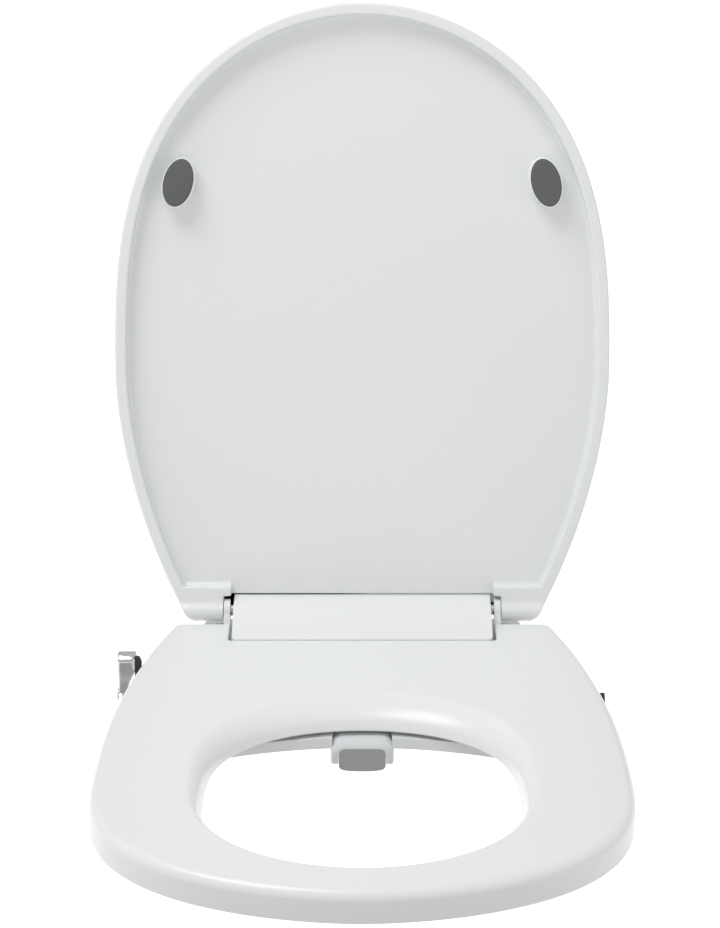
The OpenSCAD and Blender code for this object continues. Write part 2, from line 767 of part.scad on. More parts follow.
scoop_low = seat_skirt + 2;
base_clear = base_split + base_wall + 1.4;
function scoop_z(u) = lerp(seat_top, scoop_low, 1 - sqrt(max(0, 1 - pow(u, 1.5))));
module seat_ring() color([0.96, 0.96, 0.97]) {
  w = seat_wall;
  top_in = moved_in(seat_outline, seat_round);
  difference() {
    seat_body(w, top_in);
    // room for the base under the seat's rear
    translate([-base_half_w - 2.5, notch_y - w - 8, 0])
      cube([2 * base_half_w + 5, arm_rear - notch_y + w + 9, base_clear]);
  }
}
module seat_body(w, top_in) {
  closed_loft(concat(
    [raised(moved_in(seat_outline, w), seat_skirt), raised(seat_outline, seat_skirt)],
    [for (a = [0:22.5:90])
      raised(moved_in(seat_outline, seat_round * (1 - cos(a))),
        seat_top - seat_round * (1 - sin(a)))],
    [for (u = [0, 0.3, 0.55, 0.75, 0.9])
      raised(between(high_ring, low_ring, u), scoop_z(u))],
    [raised(low_ring, scoop_low + 1.5), raised(low_ring, scoop_low),
     raised(moved_in(low_ring, -w), scoop_low)],
    [for (u = [0.75, 0.55, 0.3, 0])
      raised(moved_in(between(high_ring, low_ring, u), -w), scoop_z(u) - w)],
    [for (a = [90:-45:0])
      raised(moved_in(seat_outline, w + (seat_round - w) * (1 - cos(a))),
        seat_top - w - (seat_round - w) * (1 - sin(a)))]));
}

module seat_lugs() color([0.96, 0.96, 0.97]) {
  both_sides()
    at_hinge()
      difference() {
        union() {
          rod_x(notch_half_w, notch_half_w + lug_w, lug_r);
          along_x(notch_half_w, notch_half_w + lug_w)
            polygon([[0, 0], [-lug_r, 0], [arm_rear - hinge_y, seat_top - hinge_z - 1],
              [arm_rear - hinge_y, base_clear - hinge_z], [0, -lug_r]]);
        }
        rod_x(0, knuckle_in, pin_r + 1.2);
      }
}
module seat_lug_bushes() color([0.35, 0.36, 0.38]) {
  both_sides()
    at_hinge()
      difference() {
        rod_x(notch_half_w, notch_half_w + lug_w, pin_r + 1.2);
        rod_x(0, knuckle_in, pin_r + run_gap);
      }
}
// the feet stand midway between the opening and the outer edge
foot_x = (seat_half_w + opening_half_w) / 2;
foot_at = [[foot_x, -165], [foot_x - 23, -345]];
module seat_bumpers() color([0.35, 0.35, 0.36]) {
  both_sides()
    for (p = foot_at)
      translate([p[0], p[1], 0]) {
        rounded_box([-7, -15, 0], [7, 15, seat_skirt], 6.5);
        translate([0, 0, seat_skirt - cut])
          cylinder(r = 5, h = seat_top - seat_wall - seat_skirt + cut);
      }
}

// ---- Lid, drawn closed with the hinge axis as its origin ----

lid_rear_x = lid_bow_at(lid_end)[0];
lid_half = concat(
  [for (i = [0:bow_pts]) lid_bow_at(lid_end * i / bow_pts)],
  [for (i = [1:6]) [lid_rear_x * (1 - i / 6), -lid_cut]]);
lid_outline = mirrored(lid_half);
rim_rel = rim_z - hinge_z;
lid_round = 9;
module lid_shell() color([0.93, 0.94, 0.94]) {
  inner = moved_in(lid_outline, rim_w);
  opened()
    difference() {
      lid_body(inner);
      // the rim is left out above the hinge cover
      translate([-notch_half_w + 0.8, -lid_cut - rim_w - 4, rim_rel - cut])
        cube([2 * notch_half_w - 1.6, rim_w + 4 + cut, lid_recess + cut]);
    }
}
module lid_body(inner) {
    capped_loft(concat(
      [raised(moved_in(inner, 2.5), rim_rel + lid_recess),
       raised(moved_in(inner, 0.8), rim_rel + lid_recess - 1),
       raised(inner, rim_rel + lid_recess - 3),
       raised(inner, rim_rel + 1),
       raised(moved_in(lid_outline, rim_w - 1), rim_rel),
       raised(moved_in(lid_outline, 1.5), rim_rel),
       raised(lid_outline, rim_rel + 1.5)],
      [for (a = [0:22.5:90])
        raised(moved_in(lid_outline, lid_round * (1 - cos(a))),
          rim_rel + lid_t - lid_round * (1 - sin(a)))]));
}
module lid_knuckles() color([0.94, 0.95, 0.95]) {
  opened()
    both_sides()
      difference() {
        intersection() {
          along_x(notch_half_w - 1, lid_rear_x + 1)
            union() {
              circle(knuckle_r);
              polygon([[-lid_cut, rim_rel], [-7, rim_rel], [0, -knuckle_r + 1],
                [0, knuckle_r], [-4, rim_rel + lid_t - 3], [-8, rim_rel + lid_t - 0.5],
                [-lid_cut, rim_rel + lid_t]]);
            }
          translate([0, 0, -20])
            linear_extrude(50)
              polygon([[notch_half_w - 0.6, -lid_cut], [notch_half_w - 0.6, -lug_r - 2.5],
                [knuckle_in, -lug_r - 2.5], [knuckle_in, knuckle_r + cut],
                [knuckle_out - 3.5, knuckle_r + cut], [knuckle_out, 3],
                [knuckle_out + 1.5, -1], [lid_rear_x, -lid_cut]]);
        }
        rod_x(0, knuckle_out - 1, pin_r + 1.6);
      }
}
module lid_bushes() color([0.35, 0.36, 0.38]) {
  opened()
    both_sides()
      difference() {
        rod_x(knuckle_in, knuckle_out - 1, pin_r + 1.6);
        rod_x(0, knuckle_out, pin_r + run_gap);
      }
}
bumper_gap = 0.3;
module at_bumper(s) {
  opened()
    translate([s * bumper_at[0], -bumper_at[1], 0])
      rotate([0, 0, -s * bumper_tilt])
        children();
}
module oval(half) {
  polygon([for (t = [0:5:355]) [half[0] * cos(t), half[1] * sin(t)]]);
}
module bumper_socket(s) {
  at_bumper(s)
    translate([0, 0, rim_rel + 2])
      difference() {
        linear_extrude(lid_recess - 2)
          oval(bumper_half);
        translate([0, 0, -cut])
          linear_extrude(lid_recess - 4)
            oval(bumper_half - [1.4, 2.2]);
      }
}
module bumper_pad(s) {
  at_bumper(s)
    translate([0, 0, rim_rel - lid_gap + bumper_gap])
      linear_extrude(lid_recess - 3 + lid_gap - bumper_gap)
        oval(bumper_half - [1.4, 2.2]);
}
module bumper_socket_left() color([0.93, 0.94, 0.94]) {
  bumper_socket(-1);
}
module bumper_socket_right() color([0.93, 0.94, 0.94]) {
  bumper_socket(1);
}
module lid_bumper_left() color([0.37, 0.38, 0.39]) {
  bumper_pad(-1);
}
module lid_bumper_right() color([0.37, 0.38, 0.39]) {
  bumper_pad(1);
}

// ---- Lever ----

hub_in = side_out + 3.6;
module lever_paddle() color([0.75, 0.76, 0.77]) {
  neck_w = 7;
  difference() {
    union() {
      translate([0, lever_y, lever_z])
        rod_x(-lever_out, -hub_in, 7.5);
      // the paddle: a tapered face with a bowed front, wider at the top
      intersection() {
        translate([0, lever_y + 8, 0])
          rotate([90, 0, 0])
            linear_extrude(16)
              polygon([[-lever_out, lever_z], [-lever_out + neck_w, lever_z],
                [-lever_out + neck_w, lever_z + 12], [-lever_out + paddle_w, lever_z + 24],
                [-lever_out + paddle_w, lever_z + lever_len], [-lever_out, lever_z + lever_len]]);
        along_x(-lever_out, -lever_out + paddle_w)
          translate([lever_y, lever_z])
            polygon([[-3, 0], [-4, 12], [-6.5, 20], [-7.5, 26], [-6.5, 31], [-3.5, lever_len],
              [-0.5, lever_len], [1, 30], [2, 22], [3, 12], [4, 0]]);
      }
    }
    translate([0, lever_y, lever_z])
      rod_x(-lever_out + 2.5, -hub_in + cut, spindle_r);
  }
}
module valve_spindle() color([0.7, 0.65, 0.5]) {
  translate([0, lever_y, lever_z])
    rod_x(-lever_out + 2.5, -valve_in - 4, spindle_r);
}
module lever_cap() color([0.5, 0.5, 0.51]) {
  translate([0, lever_y, lever_z])
    rod_x(-lever_out - 1, -lever_out, 4.5);
}

// ---- Nozzles ----

tip_len = 12;
module wash_tube(s) {
  nozzle_frame(s * nozzle_side)
    difference() {
      union() {
        translate([0, 0, tip_len])
          cylinder(r = nozzle_r, h = nozzle_len - tip_len);
        translate([0, 0, nozzle_len - 4])
          cylinder(r = cyl_bore - run_gap, h = 4);
      }
      translate([0, 0, tip_len - cut])
        cylinder(r = 2.2, h = nozzle_len);
    }
}
module rear_wash_tube() color([0.9, 0.91, 0.92]) {
  wash_tube(-1);
}
module front_wash_tube() color([0.9, 0.91, 0.92]) {
  wash_tube(1);
}
module wash_tip(s, holes) {
  nozzle_frame(s * nozzle_side)
    difference() {
      cylinder(r = nozzle_r, h = tip_len);
      translate([0, 0, 2])
        cylinder(r = 2.2, h = tip_len);
      for (i = [0:holes - 1])
        translate([(i - (holes - 1) / 2) * 1.6, 0, 5])
          rotate([90, 0, 0])
            cylinder(r = 0.5, h = nozzle_r + cut);
    }
}
module rear_wash_tip() color([0.95, 0.95, 0.96]) {
  wash_tip(-1, 1);
}
module front_wash_tip() color([0.95, 0.95, 0.96]) {
  wash_tip(1, 3);
}
module nozzle_bridge() color([0.85, 0.86, 0.87]) {
  difference() {
    nozzle_frame(0)
      translate([-nozzle_side, 0, tip_len - 6])
        cube([2 * nozzle_side, nozzle_r, 4]);
    for (s = [-1, 1])
      nozzle_frame(s * nozzle_side)
        cylinder(r = nozzle_r, h = 30);
  }
}
module return_springs() color([0.7, 0.71, 0.73]) {
  for (s = [-1, 1])
    nozzle_frame(s * nozzle_side)
      translate([0, 0, cyl_start + 10])
        difference() {
          cylinder(r = cyl_bore - 0.2, h = 40);
          translate([0, 0, -cut])
            cylinder(r = nozzle_r + 0.3, h = 42);
        }
}

// ---- Guard ----

module nozzle_guard() color([0.65, 0.66, 0.66]) {
  top = guard_pin_z + 3.3;
  difference() {
    union() {
      translate([0, -guard_at + guard_t, 0])
        rotate([90, 0, 0])
          linear_extrude(guard_t)
            guard_plan(top);
      translate([0, guard_pin_y, guard_pin_z])
        rod_x(-guard_half_w, guard_half_w, guard_pin_r + 0.9);
    }
    translate([0, guard_pin_y, guard_pin_z])
      rod_x(-30, 30, guard_pin_r + run_gap);
  }
}
module guard_plan(top) {
  intersection() {
    translate([0, top - guard_h + 90])
      circle(90, $fn = 180);
    union() {
      translate([-guard_half_w + 3, top - 3])
        square([2 * guard_half_w - 6, 3]);
      translate([-guard_half_w, top - guard_h])
        square([2 * guard_half_w, guard_h - 3]);
      for (s = [-1, 1])
        translate([s * (guard_half_w - 3), top - 3])
          circle(3);
    }
  }
}
module guard_pin() color([0.5, 0.5, 0.5]) {
  translate([0, guard_pin_y, guard_pin_z])
    rod_x(-hood_half_w, hood_half_w, guard_pin_r);
}

base_lower_shell();
base_upper_shell();
hinge_cover();
mounting_plate();
base_pads();
shell_screws();
nozzle_hood();
nozzle_cylinders();
valve_housing();
inlet_housing();
valve_body();
valve_collar();
inlet_fitting();
inlet_washer();
inlet_filter();
supply_hose();
rear_wash_hose();
front_wash_hose();
hose_clips();
damper_left();
damper_right();
damper_brackets();
hinge_pin_left();
hinge_pin_right();
release_button();
release_spring();
seat_ring();
seat_lugs();
seat_lug_bushes();
seat_bumpers();
lid_shell();
lid_knuckles();
lid_bushes();
bumper_socket_left();
bumper_socket_right();
lid_bumper_left();
lid_bumper_right();
lever_paddle();
valve_spindle();
lever_cap();
rear_wash_tube();
front_wash_tube();
rear_wash_tip();
front_wash_tip();
nozzle_bridge();
return_springs();
nozzle_guard();
guard_pin();
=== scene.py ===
"""A bidet seat with its lid open: glossy moulded shells, satin lever, soft studio light."""

import json
import math

import bmesh
import bpy
import numpy as np
from mathutils import Matrix, Vector


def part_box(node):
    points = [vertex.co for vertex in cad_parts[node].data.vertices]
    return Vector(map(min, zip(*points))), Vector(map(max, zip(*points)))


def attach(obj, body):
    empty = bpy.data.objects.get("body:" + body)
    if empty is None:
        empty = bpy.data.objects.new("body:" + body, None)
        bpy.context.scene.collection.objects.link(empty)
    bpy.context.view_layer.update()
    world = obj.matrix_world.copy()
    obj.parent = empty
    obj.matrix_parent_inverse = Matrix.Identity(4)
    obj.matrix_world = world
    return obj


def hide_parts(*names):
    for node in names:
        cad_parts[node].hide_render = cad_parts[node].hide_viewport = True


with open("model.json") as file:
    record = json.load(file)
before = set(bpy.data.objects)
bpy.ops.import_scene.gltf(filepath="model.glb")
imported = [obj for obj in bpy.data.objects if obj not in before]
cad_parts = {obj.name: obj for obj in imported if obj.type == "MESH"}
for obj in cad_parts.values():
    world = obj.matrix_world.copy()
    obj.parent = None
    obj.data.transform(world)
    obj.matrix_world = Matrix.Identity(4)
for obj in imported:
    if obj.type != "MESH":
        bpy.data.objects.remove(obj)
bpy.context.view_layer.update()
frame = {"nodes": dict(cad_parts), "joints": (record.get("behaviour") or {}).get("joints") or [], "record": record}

bl_info = {
    "name": "Bidet Seat",
    "version": (1, 0, 0),
    "blender": (4, 2, 0),
    "location": "View3D > Sidebar > Bidet Seat",
    "description": "Builds a soft-close bidet seat with its lid, ring, base, lever and nozzles",
    "category": "Add Mesh",
}

NODES = frame["nodes"]
SLOTS = {part["node"]: part["material_slot"] for part in frame["record"]["subparts"]}
JOINTS = {joint["name"]: joint for joint in frame["joints"]}
HINGE = Vector(JOINTS["seat_hinge"]["pos_m"])
LID_OPEN = math.radians(-JOINTS["lid_hinge"]["range_deg"][0])
LEVER = Vector(JOINTS["lever_turn"]["pos_m"])
GUARD_PIN = Vector(JOINTS["guard_flap"]["pos_m"])
SEAT_LOW, SEAT_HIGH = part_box("seat_ring")
COVER_LOW, COVER_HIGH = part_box("hinge_cover")


# ---- Sizes and colours a user would change ----


def length(name, description, default):
    """A length property in metres."""
    return bpy.props.FloatProperty(
        name=name, description=description, default=default, unit="LENGTH", subtype="DISTANCE"
    )


def tint(name, description, default):
    """A colour property."""
    return bpy.props.FloatVectorProperty(
        name=name, description=description, default=default, subtype="COLOR", size=3
    )


class SeatSizes(bpy.types.PropertyGroup):
    """Sizes of the seat ring."""

    wide_at: length("Widest line", "Distance from the bolts forward to the widest line", 0.252)
    tail: length("Rear bow", "Length of the rear bow that the rear edge cuts off", 0.445)
    wall: length("Wall", "Thickness of the shell", 0.0035)
    edge_round: length("Edge radius", "Radius of the outer top edge", 0.007)
    notch_half: length("Notch", "Half width of the notch for the hinge cover", 0.1028)
    notch_y: length("Notch front", "Where the notch's front edge is", -0.0208)
    opening_half_w: length("Opening width", "Half of the opening's width", 0.1075)
    opening_half_len: length("Opening length", "Half of the opening's length", 0.124)
    opening_mid: length("Opening middle", "Distance from the bolts to its middle", 0.27)
    scoop_side: length("Side scoop", "Width of the scooped edge at the sides", 0.0105)
    scoop_rear: length("Rear scoop", "Width of the scooped edge at the rear", 0.029)
    scoop_front: length("Front scoop", "Width of the scooped edge at the front", 0.005)
    base_clear: length("Base clearance", "Height of the cut-away over the base", 0.0216)


class LidSizes(bpy.types.PropertyGroup):
    """Sizes of the lid, closed, measured from its hinge axis."""

    half_w: length("Half width", "Half of the greatest width", 0.1905)
    wide_at: length("Widest line", "Distance from the hinge to the widest line", 0.1887)
    bow: length("Front bow", "Length of the front bow", 0.2784)
    tail: length("Rear bow", "Length of the rear bow that the hinge edge cuts off", 0.3237)
    rim: length("Rim", "Width of the flat rim", 0.0085)
    recess: length("Recess", "Depth of the recess inside the rim", 0.012)
    panel: length("Panel", "Thickness of the panel", 0.003)
    rim_rel: length("Rim plane", "Height of the rim over the hinge axis, closed", -0.005)
    cut: length("Rear edge", "Distance from the hinge axis to the rear edge", 0.0118)
    bumper_side: length("Bumper side", "Distance of a bumper from the middle", 0.1405)
    bumper_out: length("Bumper reach", "Distance of a bumper from the hinge axis", 0.3314)


class FinishColours(bpy.types.PropertyGroup):
    """Colours of the finishes, in linear light."""

    shell: tint("Shell", "Glossy white of the seat ring", (0.83, 0.845, 0.86))
    # painted shade: the lid is the shell's white plastic, set darker than the shell because its face takes less
    # light
    lid: tint("Lid", "Glossy white of the lid", (0.75, 0.77, 0.765))
    # painted shade: the base's white is darkened because its front lip lies in shadow under the ring
    base: tint("Base", "Satin white of the base", (0.60, 0.61, 0.62))
    hood: tint("Hood", "Pale grey of the nozzle hood", (0.60, 0.62, 0.63))
    guard: tint("Guard", "Grey of the nozzle guard", (0.54, 0.55, 0.55))
    rubber: tint("Rubber", "Grey of the bumpers", (0.105, 0.112, 0.116))
    metal: tint("Metal", "Satin plating of the lever", (0.82, 0.83, 0.84))


def sizes(name):
    """One of the groups of sizes, from the scene."""
    return getattr(bpy.context.scene, name)


# ---- Surfaces from numpy grids ----


def unit_rows(rows):
    """Each row divided by its own length."""
    return rows / np.maximum(np.linalg.norm(rows, axis=-1, keepdims=True), 1e-12)


def grid_faces(rows, columns, wrap_rows, wrap_columns):
    """Quads of a grid of points; a wrapped direction joins its end to its start."""
    i = np.arange(rows if wrap_rows else rows - 1)
    j = np.arange(columns if wrap_columns else columns - 1)
    i, j = np.meshgrid(i, j, indexing="ij")
    i2, j2 = (i + 1) % rows, (j + 1) % columns
    quads = np.stack(
        [i * columns + j, i2 * columns + j, i2 * columns + j2, i * columns + j2], -1
    )
    return quads.reshape(-1, 4).tolist()


def signed_volume(points, faces):
    """The volume inside a closed mesh: positive when its faces point outwards."""
    total = 0.0
    for count in {len(face) for face in faces}:
        same = np.array([face for face in faces if len(face) == count])
        for k in range(1, count - 1):
            a, b, c = points[same[:, 0]], points[same[:, k]], points[same[:, k + 1]]
            total += float(np.einsum("ij,ij->i", a, np.cross(b, c)).sum()) / 6
    return total


def mesh_piece(name, points, faces, body, slot, *replaced):
    """A closed mesh from points and faces, turned outwards, riding on its body."""
    if signed_volume(points, faces) < 0:
        faces = [face[::-1] for face in faces]
    mesh = bpy.data.meshes.new(name)
    mesh.from_pydata(points.tolist(), [], faces)
    mesh.validate()
    mesh.shade_smooth()
    piece = bpy.data.objects.new(name, mesh)
    bpy.context.scene.collection.objects.link(piece)
    finish_piece(piece, body, slot, *replaced)
    return piece


def finish_piece(piece, body, slot, *replaced):
    """Gives a piece its material, its body and the nodes that it stands for."""
    piece.data.materials.clear()
    piece.data.materials.append(bpy.data.materials[slot])
    piece.data.set_sharp_from_angle(angle=math.radians(38))
    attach(piece, body)
    if replaced:
        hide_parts(*replaced)


def loft(rings, closed):
    """Points and faces through rings of points; capped with flat ends unless closed."""
    count, around = len(rings), len(rings[0])
    points = np.concatenate(rings)
    faces = grid_faces(count, around, closed, True)
    if not closed:
        faces.append(list(range(around - 1, -1, -1)))
        faces.append(list(range((count - 1) * around, count * around)))
    return points, faces


def moved_in(outline, distance):
    """A closed outline moved inwards, square to its edges, with mitred corners."""
    before = unit_rows(outline - np.roll(outline, 1, 0))
    after = unit_rows(np.roll(outline, -1, 0) - outline)
    left_before = np.stack([-before[:, 1], before[:, 0]], -1)
    left_after = np.stack([-after[:, 1], after[:, 0]], -1)
    middle = unit_rows(left_before + left_after)
    stretch = np.maximum(np.einsum("ij,ij->i", middle, left_before), 0.5)
    return outline + middle * (distance / stretch)[:, None]


def raised(outline, height):
    """A flat outline lifted to a height, which may vary from point to point."""
    return np.column_stack([outline, np.broadcast_to(height, len(outline))])


def bow(t, half_w, front, rear, powers):
    """Bow-shaped outline: |x/a|^n + |y/b|^m = 1 in front of and behind its widest line.
    t runs from 0 at the front over 90 degrees at the widest line to 180 at the rear."""
    nf, mf, nr, mr = powers
    s, c = np.sin(t), np.cos(t)
    ahead = c >= 0
    x = half_w * np.where(ahead, np.abs(s) ** (2 / nf), np.abs(s) ** (2 / nr))
    y = np.where(ahead, -front * np.abs(c) ** (2 / mf), rear * np.abs(c) ** (2 / mr))
    return np.stack([x, y], -1)


def bow_angle(y, rear, power):
    """The angle at which a rear bow crosses y behind its widest line."""
    return math.pi - math.acos((y / rear) ** (power / 2))


def both_halves(half):
    """A right-hand half outline with its mirror image, starting and ending in the middle."""
    left = half[-2:0:-1].copy()
    left[:, 0] *= -1
    return np.concatenate([half, left])


def quarter(count):
    """Angles spread over a quarter circle."""
    return np.linspace(0, math.pi / 2, count)


def arc_corner(corner, before, after, radius, count):
    """Points of a rounded corner: a quarter ellipse between the edges that run from the
    corner towards two other points."""
    a = corner + unit_rows(before - corner) * radius
    b = corner + unit_rows(after - corner) * radius
    u = quarter(count)[:, None]
    return corner + (a - corner) * (1 - np.sin(u)) + (b - corner) * (1 - np.cos(u))


def smooth_step(x):
    """0 below 0, 1 above 1, and 3x^2 - 2x^3 between."""
    x = np.clip(x, 0, 1)
    return x * x * (3 - 2 * x)


def even_angles(outline_at, end, count):
    """Angles that space an outline's points evenly along its length."""
    fine = np.linspace(0, end, 4000)
    steps = np.linalg.norm(np.diff(outline_at(fine), axis=0), axis=1)
    travelled = np.concatenate([[0], np.cumsum(steps)])
    return np.interp(np.linspace(0, travelled[-1], count), travelled, fine)


# ---- Seat ring ----

SEAT_POWERS = (1.85, 3.0, 1.6, 2.25)
OPENING_POWERS = (2.0, 2.3, 2.0, 2.9)
BOW_POINTS = 110
KNUCKLE_R = 0.009
# gap between an arm's rear edge and the lid's knuckle
ARM_CLEAR = 0.0035
# where the bow stops before an arm's rear edge, and how far in that edge's corner stands
BOW_STOP, SHOULDER_IN = 0.006, 0.0015
# corner radii: bow to arm, arm to notch, and inside the notch
SHOULDER_R, ARM_R, NOTCH_R = 0.0058, 0.0015, 0.004
# share of the top edge's radius round the notch, and the points over which it falls to that
NOTCH_EDGE, SOFT_FADE = 0.17, 34
# front and half width of the skirt's cut-away over the base, and the width of its slope
BASE_FRONT, BASE_HALF, BASE_SLOPE = -0.0365, 0.1285, 0.004
# angles on the opening at which the stretches of the right-hand outline end
STRETCH_ENDS = (0, 112, 113.5, 117, 117.5, 119, 122, 180)


def seat_outline_and_angles():
    """The ring's outer outline, and for each of its points the angle of its partner on the
    opening and its share of the edge radius."""
    s = sizes("seat_sizes")
    arm_rear = HINGE.y - KNUCKLE_R - ARM_CLEAR
    front = -SEAT_LOW.y - s.wide_at
    middle = np.array([0, -s.wide_at])

    def outline_at(t):
        return bow(t, SEAT_HIGH.x, front, s.tail, SEAT_POWERS) + middle

    end = bow_angle(s.wide_at + arm_rear - BOW_STOP, s.tail, SEAT_POWERS[3])
    curve = outline_at(even_angles(outline_at, end, BOW_POINTS))
    corner = np.array([curve[-1, 0] - SHOULDER_IN, arm_rear])
    shoulder = arc_corner(corner, curve[-1], corner - [0.02, 0], SHOULDER_R, 10)
    inner = np.array([s.notch_half, arm_rear])
    arm_edge = np.linspace(shoulder[-1] - [0.001, 0], inner + [0.0022, 0], 14)
    inner_corner = arc_corner(inner, inner + [0.01, 0], inner - [0, 0.01], ARM_R, 5)
    notch_corner = np.array([s.notch_half, s.notch_y])
    side = np.linspace(inner_corner[-1] - [0, 0.001], notch_corner + [0, 0.005], 22)
    turn = notch_corner + np.array([-NOTCH_R, NOTCH_R])
    u = quarter(8)
    concave = turn + NOTCH_R * np.stack([np.cos(u), -np.sin(u)], -1)
    across = np.linspace(concave[-1] - [0.001, 0], [0, s.notch_y], 60)
    stretches = (curve, shoulder, arm_edge, inner_corner, side, concave, across)
    half = np.concatenate(stretches)
    angles = np.radians(np.concatenate([
        np.linspace(STRETCH_ENDS[k] + (0.05 if k else 0), STRETCH_ENDS[k + 1], len(stretch))
        for k, stretch in enumerate(stretches)
    ]))
    # the notch's and arms' edges are crisper than the bow's
    soft = np.full(len(half), NOTCH_EDGE)
    count = BOW_POINTS + len(shoulder)
    fall = smooth_step((np.arange(count) - count + SOFT_FADE) / SOFT_FADE)
    soft[:count] = 1 - (1 - NOTCH_EDGE) * fall
    outline = both_halves(half)
    both_angles = np.concatenate([angles, -angles[-2:0:-1]])
    return outline, both_angles, np.concatenate([soft, soft[-2:0:-1]])


def opening_outline(angles, extra_side, extra_front, extra_rear):
    """The opening's edge at given angles, widened by the scoop's width at side, front and rear."""
    s = sizes("seat_sizes")
    edge = bow(
        np.abs(angles),
        s.opening_half_w + extra_side,
        s.opening_half_len + extra_front,
        s.opening_half_len + extra_rear,
        OPENING_POWERS,
    )
    edge[:, 0] *= np.where(angles < 0, -1, 1)
    return edge - [0, s.opening_mid]


def scoop_height(u, top, low):
    """Height across the scoop, from the flat top at u 0 to the lower edge at u 1."""
    return top - (top - low) * (1 - np.sqrt(np.maximum(0, 1 - u**1.5)))


def seat_ring_mesh():
    """The hollow ring: its skirt, rounded outer edge, flat top, scooped inner edge and underside."""
    s = sizes("seat_sizes")
    outline, angles, soft = seat_outline_and_angles()
    low = opening_outline(angles, 0, 0, 0)
    high = opening_outline(angles, s.scoop_side, s.scoop_front, s.scoop_rear)
    top, skirt, w, r = SEAT_HIGH.z, SEAT_LOW.z, s.wall, s.edge_round * soft
    side_w = np.minimum(w, w * soft * 2)
    lip = skirt + 0.002
    # over the base the skirt is cut away
    over_base = smooth_step((outline[:, 1] - BASE_FRONT) / BASE_SLOPE) * (
        smooth_step((BASE_HALF - np.abs(outline[:, 0])) / BASE_SLOPE)
    )
    foot = skirt + (s.base_clear - skirt) * over_base
    rings = [raised(moved_in(outline, side_w), foot)]
    rings.append(raised(moved_in(outline, side_w * 0.25), foot))
    rings.append(raised(outline, foot + 0.0009))
    for a in quarter(12):
        edge = moved_in(outline, r * (1 - math.cos(a)))
        height = top - np.minimum(r, top - foot - 0.001) * (1 - math.sin(a))
        rings.append(raised(edge, height))
    inner_top = moved_in(outline, r)
    for u in (0.12, 0.3, 0.5, 0.7, 0.85, 0.95):
        rings.append(raised(inner_top + (high - inner_top) * u, top))
    for u in np.linspace(0, 1, 16) ** 0.8:
        rings.append(raised(high + (low - high) * u, scoop_height(u, top, lip + 0.0012)))
    rings.append(raised(low + (high - low) * 0.02, lip + 0.0004))
    rings.append(raised(moved_in(low, -0.0008), lip))
    rings.append(raised(moved_in(low, -w), lip))
    for u in np.linspace(0.9, 0, 8):
        under = moved_in(high + (low - high) * u, -w)
        rings.append(raised(under, scoop_height(u, top, lip + 0.002) - w))
    under_top = moved_in(outline, np.maximum(r, side_w))
    rings.append(raised(under_top, top - w))
    for a in np.linspace(math.pi / 2, 0, 5)[1:]:
        bend = np.maximum(r - side_w, 0)
        edge = moved_in(outline, side_w + bend * (1 - math.cos(a)))
        height = np.maximum(top - w - bend * (1 - math.sin(a)), foot + 0.0006)
        rings.append(raised(edge, height))
    return loft(rings, True)


# ---- Lid ----

LID_POWERS = (1.95, 2.78, 1.6, 1.73)
# inner faces of the knuckle lobes and of the gap between them, from the seat's notch
LOBE_OUT, GATE_IN = 0.0055, 0.0006
# corner radii of a lobe, outer and inner
LOBE_R, HEEL_R = 0.0062, 0.0018
# the bow's last two stretches end this far before and behind the hinge axis
BOW_BEND, BOW_END = 0.015, 0.002
# depth of the rounded back edge on the bow
BACK_ROUND = 0.009
# along the recess's straight rear edge: where the stretches end, and the step between them
LEDGE_STOPS, LEDGE_STEP = (0.134, 0.111, 0.110, 0.1042), 0.0002
# distances from the axis over which the front and back rise to the barrels
BARREL_REACH, BACK_REACH = 0.0078, 0.012


def opened(points):
    """Turns points drawn with the lid closed, measured from the hinge axis, to the open lid."""
    c, s = math.cos(LID_OPEN), math.sin(LID_OPEN)
    x, y, z = points.T
    return np.stack([x, y * c + z * s + HINGE.y, -y * s + z * c + HINGE.z], -1)


